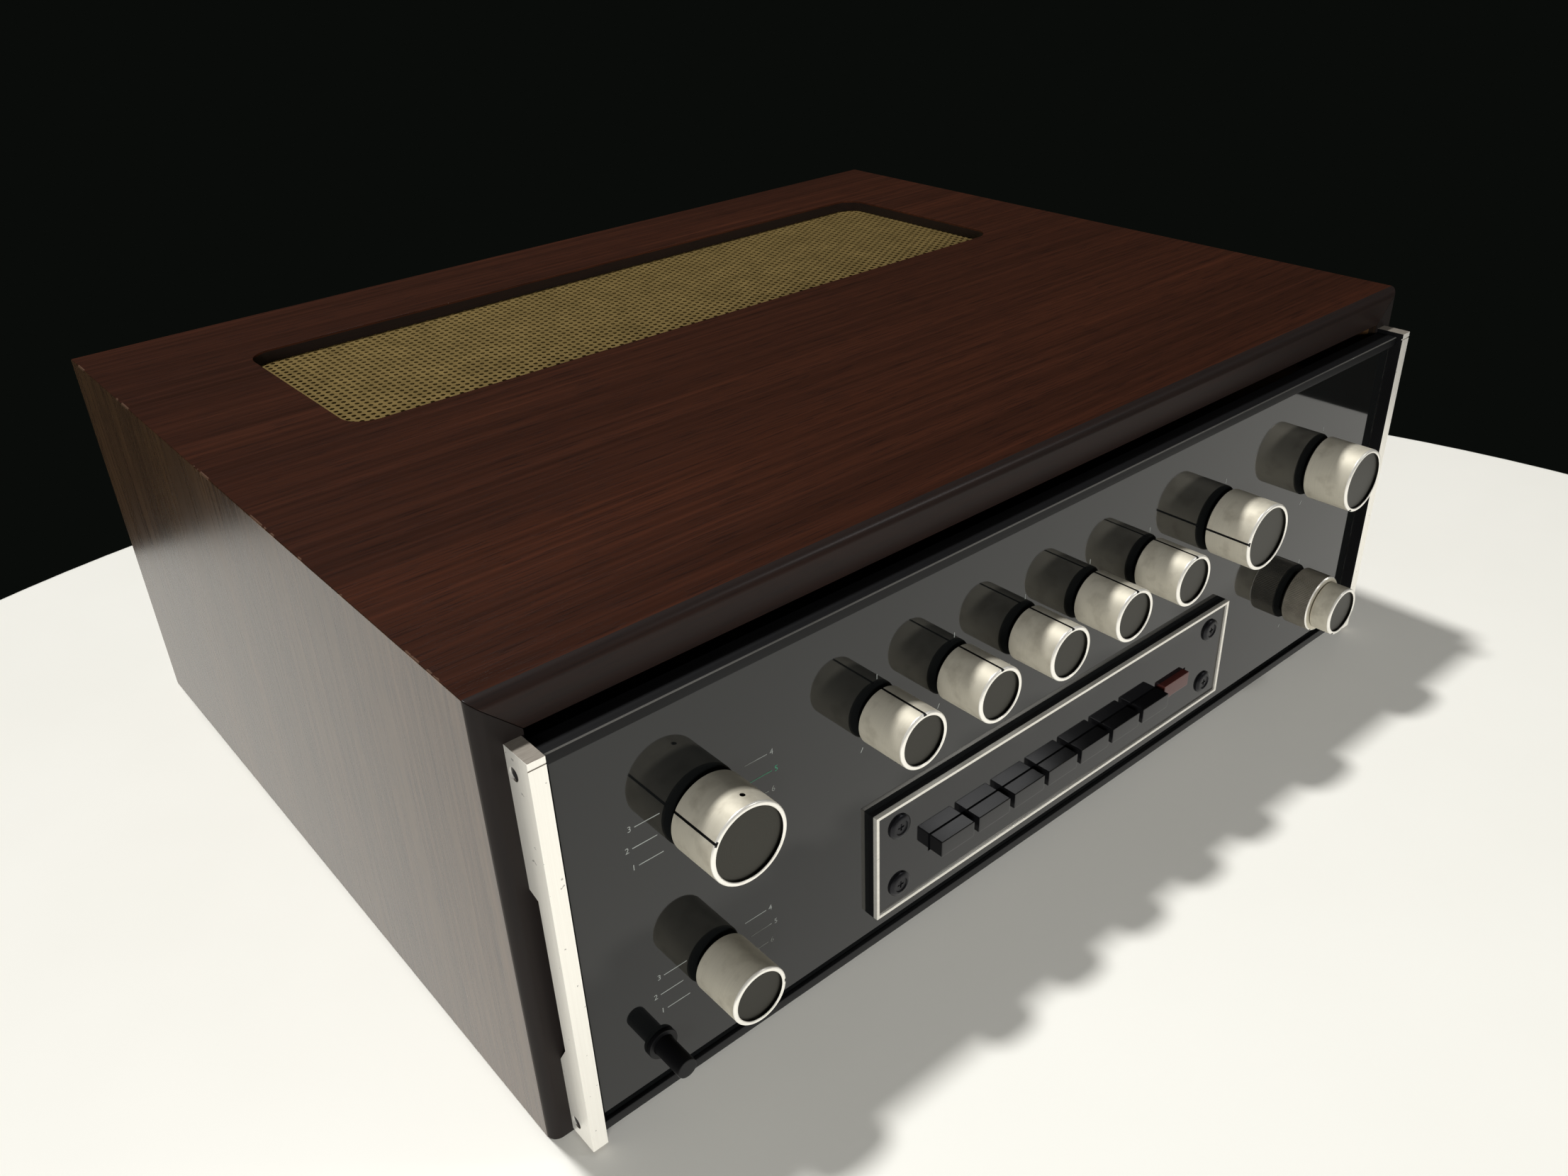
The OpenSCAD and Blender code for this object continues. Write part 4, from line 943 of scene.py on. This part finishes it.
def cut_away(piece, size, place, turn=0.0, drilled=False):
    """Cuts a block of a given size, or a drilled hole, turned about Y, out of a piece."""
    bpy.ops.object.select_all(action="DESELECT")
    if drilled:
        bpy.ops.mesh.primitive_cylinder_add(vertices=drill_sides, radius=0.5, depth=1)
    else:
        bpy.ops.mesh.primitive_cube_add(size=1)
    block = bpy.context.object
    block.scale = size
    block.location = place
    block.rotation_euler = (0, turn, 0)
    bpy.ops.object.transform_apply(location=True, rotation=True, scale=True)
    hold(piece)
    cut = piece.modifiers.new("cut", "BOOLEAN")
    cut.operation = "DIFFERENCE"
    cut.solver = "EXACT"
    cut.object = block
    bpy.ops.object.modifier_apply(modifier=cut.name)
    bpy.data.objects.remove(block)


screw = turned("ringed_screw", head_stations, head_sides)
for recess_turn in (0, math.pi / 2):
    cut_away(screw, (recess_length, 2 * recess_depth, recess_width), (0, screw_low.y, 0), recess_turn)
screws = copies(screw, [(x, z) for x in screw_xs for z in screw_zs])
screws.name = "ringed_plate_screws"
finish_piece(screws, [blued], "chassis", ["button_plate_screws"])


# Push keys: moulded bars side by side in the plate's slot, seven of satin black and a red one for the
# mains. Each is carried by its stem in the switch bank, and the red one stays in when it is pushed.
key_ease = 0.45 * mm
key_black = (10, 10, 11)
key_soft = (17, 17, 18)
key_red = (76, 38, 34)
key_red_dark = (64, 31, 28)
key_finishes = {}
for finish_name, dark, light in (("black_key", key_black, key_soft), ("red_key", key_red_dark, key_red)):
    key_plastic, shader, root = new_finish(finish_name + "_moulding", {"IOR": 1.5})
    tint(root, shader, mottle(root, 120), dark, light)
    roughen(shader, mottle(root, 60, 4.0), 0.12, 0.22)
    key_finishes[finish_name] = key_plastic
for number in range(1, 8):
    eased_copy("push_key_" + str(number), key_ease, key_finishes["black_key"])
eased_copy("power_key", key_ease, key_finishes["red_key"])


# Washers behind the knobs, and the latch buttons in their flanged bushes: black felt on the glass,
# and black anodised turnings that slide in bushes nutted through the panel.
felt_ease = 0.3 * mm
button_ease = 0.4 * mm
felt_black = (9, 9, 9)
felt_grey = (20, 20, 20)
felt, shader, root = new_finish("black_felt", {})
nap = mottle(root, 1800, 4.0)
tint(root, shader, nap, felt_black, felt_grey)
roughen(shader, nap, 0.85, 0.95)
relief(root, shader, nap, 0.2 * mm)
eased_copy("shaft_washers", felt_ease, felt)
button_black = (8, 8, 9)
button_grey = (15, 15, 16)
button_metal, shader, root = new_finish("black_button_metal", {"Specular IOR Level": 0.2})
turning_marks = mottle(root, 1.0, 2.0, (200, 3500, 200))
tint(root, shader, turning_marks, button_black, button_grey)
roughen(shader, turning_marks, 0.35, 0.5)
for node in ("latch_bushes", "left_latch_button", "right_latch_button"):
    eased_copy(node, button_ease, button_metal)


# Knobs: turned aluminium with a satin side, a bright bevelled rim and a dark spun face let into it.
# A groove filled with black runs along each side as its index. A set screw holds each to its shaft,
# and only the input knob's screw hole is turned to where it shows. That hole is painted black: the
# screw in it, and painted shade on its walls.
knob_rim = 1.4 * mm
rim_bevel = 0.7 * mm
rim_steps = 5
face_recess = 0.9 * mm
back_bevel = 0.4 * mm
index_width = 0.8 * mm
index_depth = 0.5 * mm
hole_turn = math.radians(69)
hole_drop = 4.8 * mm
hole_reach = 6 * mm
hole_width = 1.6 * mm
hole_depth = 1.2 * mm
face_bevel = 0.2 * mm
groove_slack = 0.3 * mm
hole_slack = 0.2 * mm
face_slack = 0.05 * mm
rim_slack = 0.01 * mm
groove_overrun = 2 * mm
knob_sides = 96
side_pale = (214, 208, 190)
side_dark = (198, 192, 175)
side_soil = (164, 156, 139)
rim_light = (250, 247, 238)
rim_dark = (236, 232, 222)
face_light = (75, 74, 69)
face_dark = (56, 55, 51)
paint_black = (12, 12, 12)
paint_grey = (22, 22, 22)


def turning_map(piece, radius):
    """Lays a map on a knob, seen from the front, with its axis at 0 and its side at 1."""
    sheet = piece.data.uv_layers.new(name="turning")
    for loop in piece.data.loops:
        point = piece.data.vertices[loop.vertex_index].co
        sheet.data[loop.index].uv = (point.x / radius, point.z / radius)


knob_side, shader, root = new_finish("satin_knob_side", {"Metallic": 0.5})
tool_marks = mottle(root, 1.0, 2.0, (60, 5200, 60))
satin_tone = blend(root, tool_marks, side_dark, side_pale)
soil = mottle(root, 170, 4.0)
soiled = root.math("MAXIMUM", soil - 0.5, 0.0) * 2.2
tint(root, shader, soiled, satin_tone, side_soil)
(tool_marks * 0.1 + soil * 0.12 + 0.52).feed(shader.inputs["Roughness"])
relief(root, shader, tool_marks, 0.015 * mm, 0.6)
knob_bright, shader, root = new_finish("bright_knob_rim", {"Metallic": 0.6})
rim_polish = mottle(root, 500, 3.0)
tint(root, shader, rim_polish, rim_dark, rim_light)
roughen(shader, rim_polish, 0.26, 0.38)
knob_face, shader, root = new_finish("spun_knob_face", {"Metallic": 1.0})
turning = root.node("ShaderNodeUVMap", {"uv_map": "turning"}, {})
from_axis = root.node("ShaderNodeVectorMath", {"operation": "LENGTH"}, {0: turning}, 1)
spun = root.node("ShaderNodeTexNoise", {"noise_dimensions": "1D"}, {
    "W": from_axis, "Scale": 70.0, "Detail": 3.0})
tint(root, shader, spun, face_dark, face_light)
roughen(shader, spun, 0.28, 0.44)
relief(root, shader, spun, 0.03 * mm, 0.6)
index_paint_and_hole_shade, shader, root = new_finish("index_paint_and_hole_shade", {})
tint(root, shader, mottle(root, 600), paint_black, paint_grey)
roughen(shader, mottle(root, 900), 0.5, 0.6)
knob_finishes = [knob_side, knob_bright, knob_face, index_paint_and_hole_shade]
on_side, on_rim, on_face, painted = range(4)


def share_out(piece, radius, front):
    """Marks which faces of a knob are its side, its rim, its face and its index or set screw hole."""
    for face in piece.data.polygons:
        middle = face.center
        out = math.hypot(middle.x, middle.z)
        on_top = abs(middle.x) < index_width and middle.z > 0
        in_groove = on_top and abs(out - radius + index_depth) < groove_slack
        by_hole = front + knob_rim < middle.y < front + hole_reach
        in_hole = by_hole and radius / 2 < out < radius - hole_slack
        # The set screw hole is painted black: the screw, and painted shade on its walls.
        if in_groove or in_hole:
            face.material_index = painted
        elif out < radius - knob_rim + face_slack and middle.y < front + 2 * face_recess:
            face.material_index = on_face
        elif middle.y < front + rim_bevel + rim_slack:
            face.material_index = on_rim
        else:
            face.material_index = on_side


def cut_groove(piece, low, high):
    """Cuts the index groove along the top of a knob's side."""
    groove = (index_width, high.y - low.y + groove_overrun, 2 * index_depth)
    cut_away(piece, groove, (0, (low.y + high.y) / 2, (high.x - low.x) / 2))


def set_in_place(piece, low, high, turn):
    """Brings a knob from the Y axis to its place, turned clockwise from the top by its index angle."""
    piece.rotation_euler = (0, math.radians(turn), 0)
    piece.location = ((low.x + high.x) / 2, 0, (low.z + high.z) / 2)
    hold(piece)
    bpy.ops.object.transform_apply(location=True, rotation=True)


def turned_knob(name, node, drilled):
    """A knob on the Y axis with its index at the top, as wide and long as a CAD knob."""
    low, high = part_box(node)
    radius = (high.x - low.x) / 2
    front = low.y
    stations = [(radius - back_bevel, high.y), (radius, high.y - back_bevel)]
    for step in range(rim_steps + 1):
        turn = step / rim_steps * math.pi / 2
        inwards = rim_bevel * (1 - math.cos(turn))
        backwards = rim_bevel * (1 - math.sin(turn))
        stations.append((radius - inwards, front + backwards))
    face_radius = radius - knob_rim
    stations += [
        (face_radius + face_bevel, front), (face_radius, front + face_bevel),
        (face_radius, front + face_recess), (face_radius - face_bevel, front + face_recess),
    ]
    knob = turned(name, stations, knob_sides)
    cut_groove(knob, low, high)
    if drilled:
        hole_place = (radius * math.sin(hole_turn), front + hole_drop, radius * math.cos(hole_turn))
        cut_away(knob, (hole_width, hole_width, 2 * hole_depth), hole_place, hole_turn, True)
    bpy.ops.object.shade_smooth_by_angle(angle=turned_angle)
    for finish in knob_finishes:
        knob.data.materials.append(finish)
    share_out(knob, radius, front)
    turning_map(knob, radius)
    return knob


def fit_knob(master, node, turn):
    """Copies a knob to a CAD knob's place and lets it ride and stand for that knob."""
    hold(master)
    bpy.ops.object.duplicate()
    knob = bpy.context.object
    knob.name = node + "_turned"
    set_in_place(knob, *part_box(node), turn)
    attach(knob, frame["nodes"][node]["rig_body"])
    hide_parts(node)


knob_kinds = (
    ("drilled_knob", "input_selector_knob", True, {"input_selector_knob": -60}),
    ("large_knob", "loudness_knob", False, {"loudness_knob": -83, "volume_knob": -150}),
    ("small_knob", "tone_knob_1", False, {"mode_selector_knob": 90, **dict.fromkeys(tone_knobs, 0)}),
    ("short_knob", "dual_front_knob", False, {"dual_front_knob": -150}),
)
for kind, pattern, drilled, turns in knob_kinds:
    master = turned_knob(kind, pattern, drilled)
    for node, turn in turns.items():
        fit_knob(master, node, turn)
    bpy.data.objects.remove(master)


# Dual ring: the rear half of the double control, turned aluminium with a fine straight knurl
# and a bright bevel at its front. Its bore is pressed on the tube shaft.
ring_low, ring_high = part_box("dual_ring_knob")
ring_edge = (ring_high.x - ring_low.x) / 2
ring_bore = 4 * mm
ring_bevel = 0.5 * mm
knurl_count = 110
knurl_floor = 0.985
tooth_angle = math.radians(12)
ring_turn = -150
ring_light = (158, 152, 138)
ring_dark = (114, 109, 98)
ring_stations = [
    (ring_bore, ring_high.y), (ring_edge - back_bevel, ring_high.y),
    (ring_edge, ring_high.y - back_bevel), (ring_edge, ring_low.y + ring_bevel),
    (ring_edge - ring_bevel, ring_low.y), (ring_bore, ring_low.y), (ring_bore, ring_high.y),
]
ring = turned("dual_ring_knurled", ring_stations, 2 * knurl_count, True)
for point in ring.data.vertices:
    in_knurl = ring_low.y + ring_bevel / 2 < point.co.y < ring_high.y - back_bevel / 2
    tooth = math.atan2(point.co.x, point.co.z) / math.pi * knurl_count
    if in_knurl and math.hypot(point.co.x, point.co.z) > ring_edge / 2 and round(tooth) % 2:
        point.co.x *= knurl_floor
        point.co.z *= knurl_floor
cut_groove(ring, ring_low, ring_high)
bpy.ops.object.shade_smooth_by_angle(angle=tooth_angle)
knurled, shader, root = new_finish("knurled_ring_side", {"Metallic": 0.6})
grime = mottle(root, 260, 4.0)
tint(root, shader, grime, ring_dark, ring_light)
roughen(shader, grime, 0.3, 0.45)
for finish in (knurled, knob_bright, knob_side, index_paint_and_hole_shade):
    ring.data.materials.append(finish)
share_out(ring, ring_edge, ring_low.y + ring_bevel - rim_bevel)
set_in_place(ring, ring_low, ring_high, ring_turn)
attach(ring, "dual_ring_control")
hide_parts("dual_ring_knob")
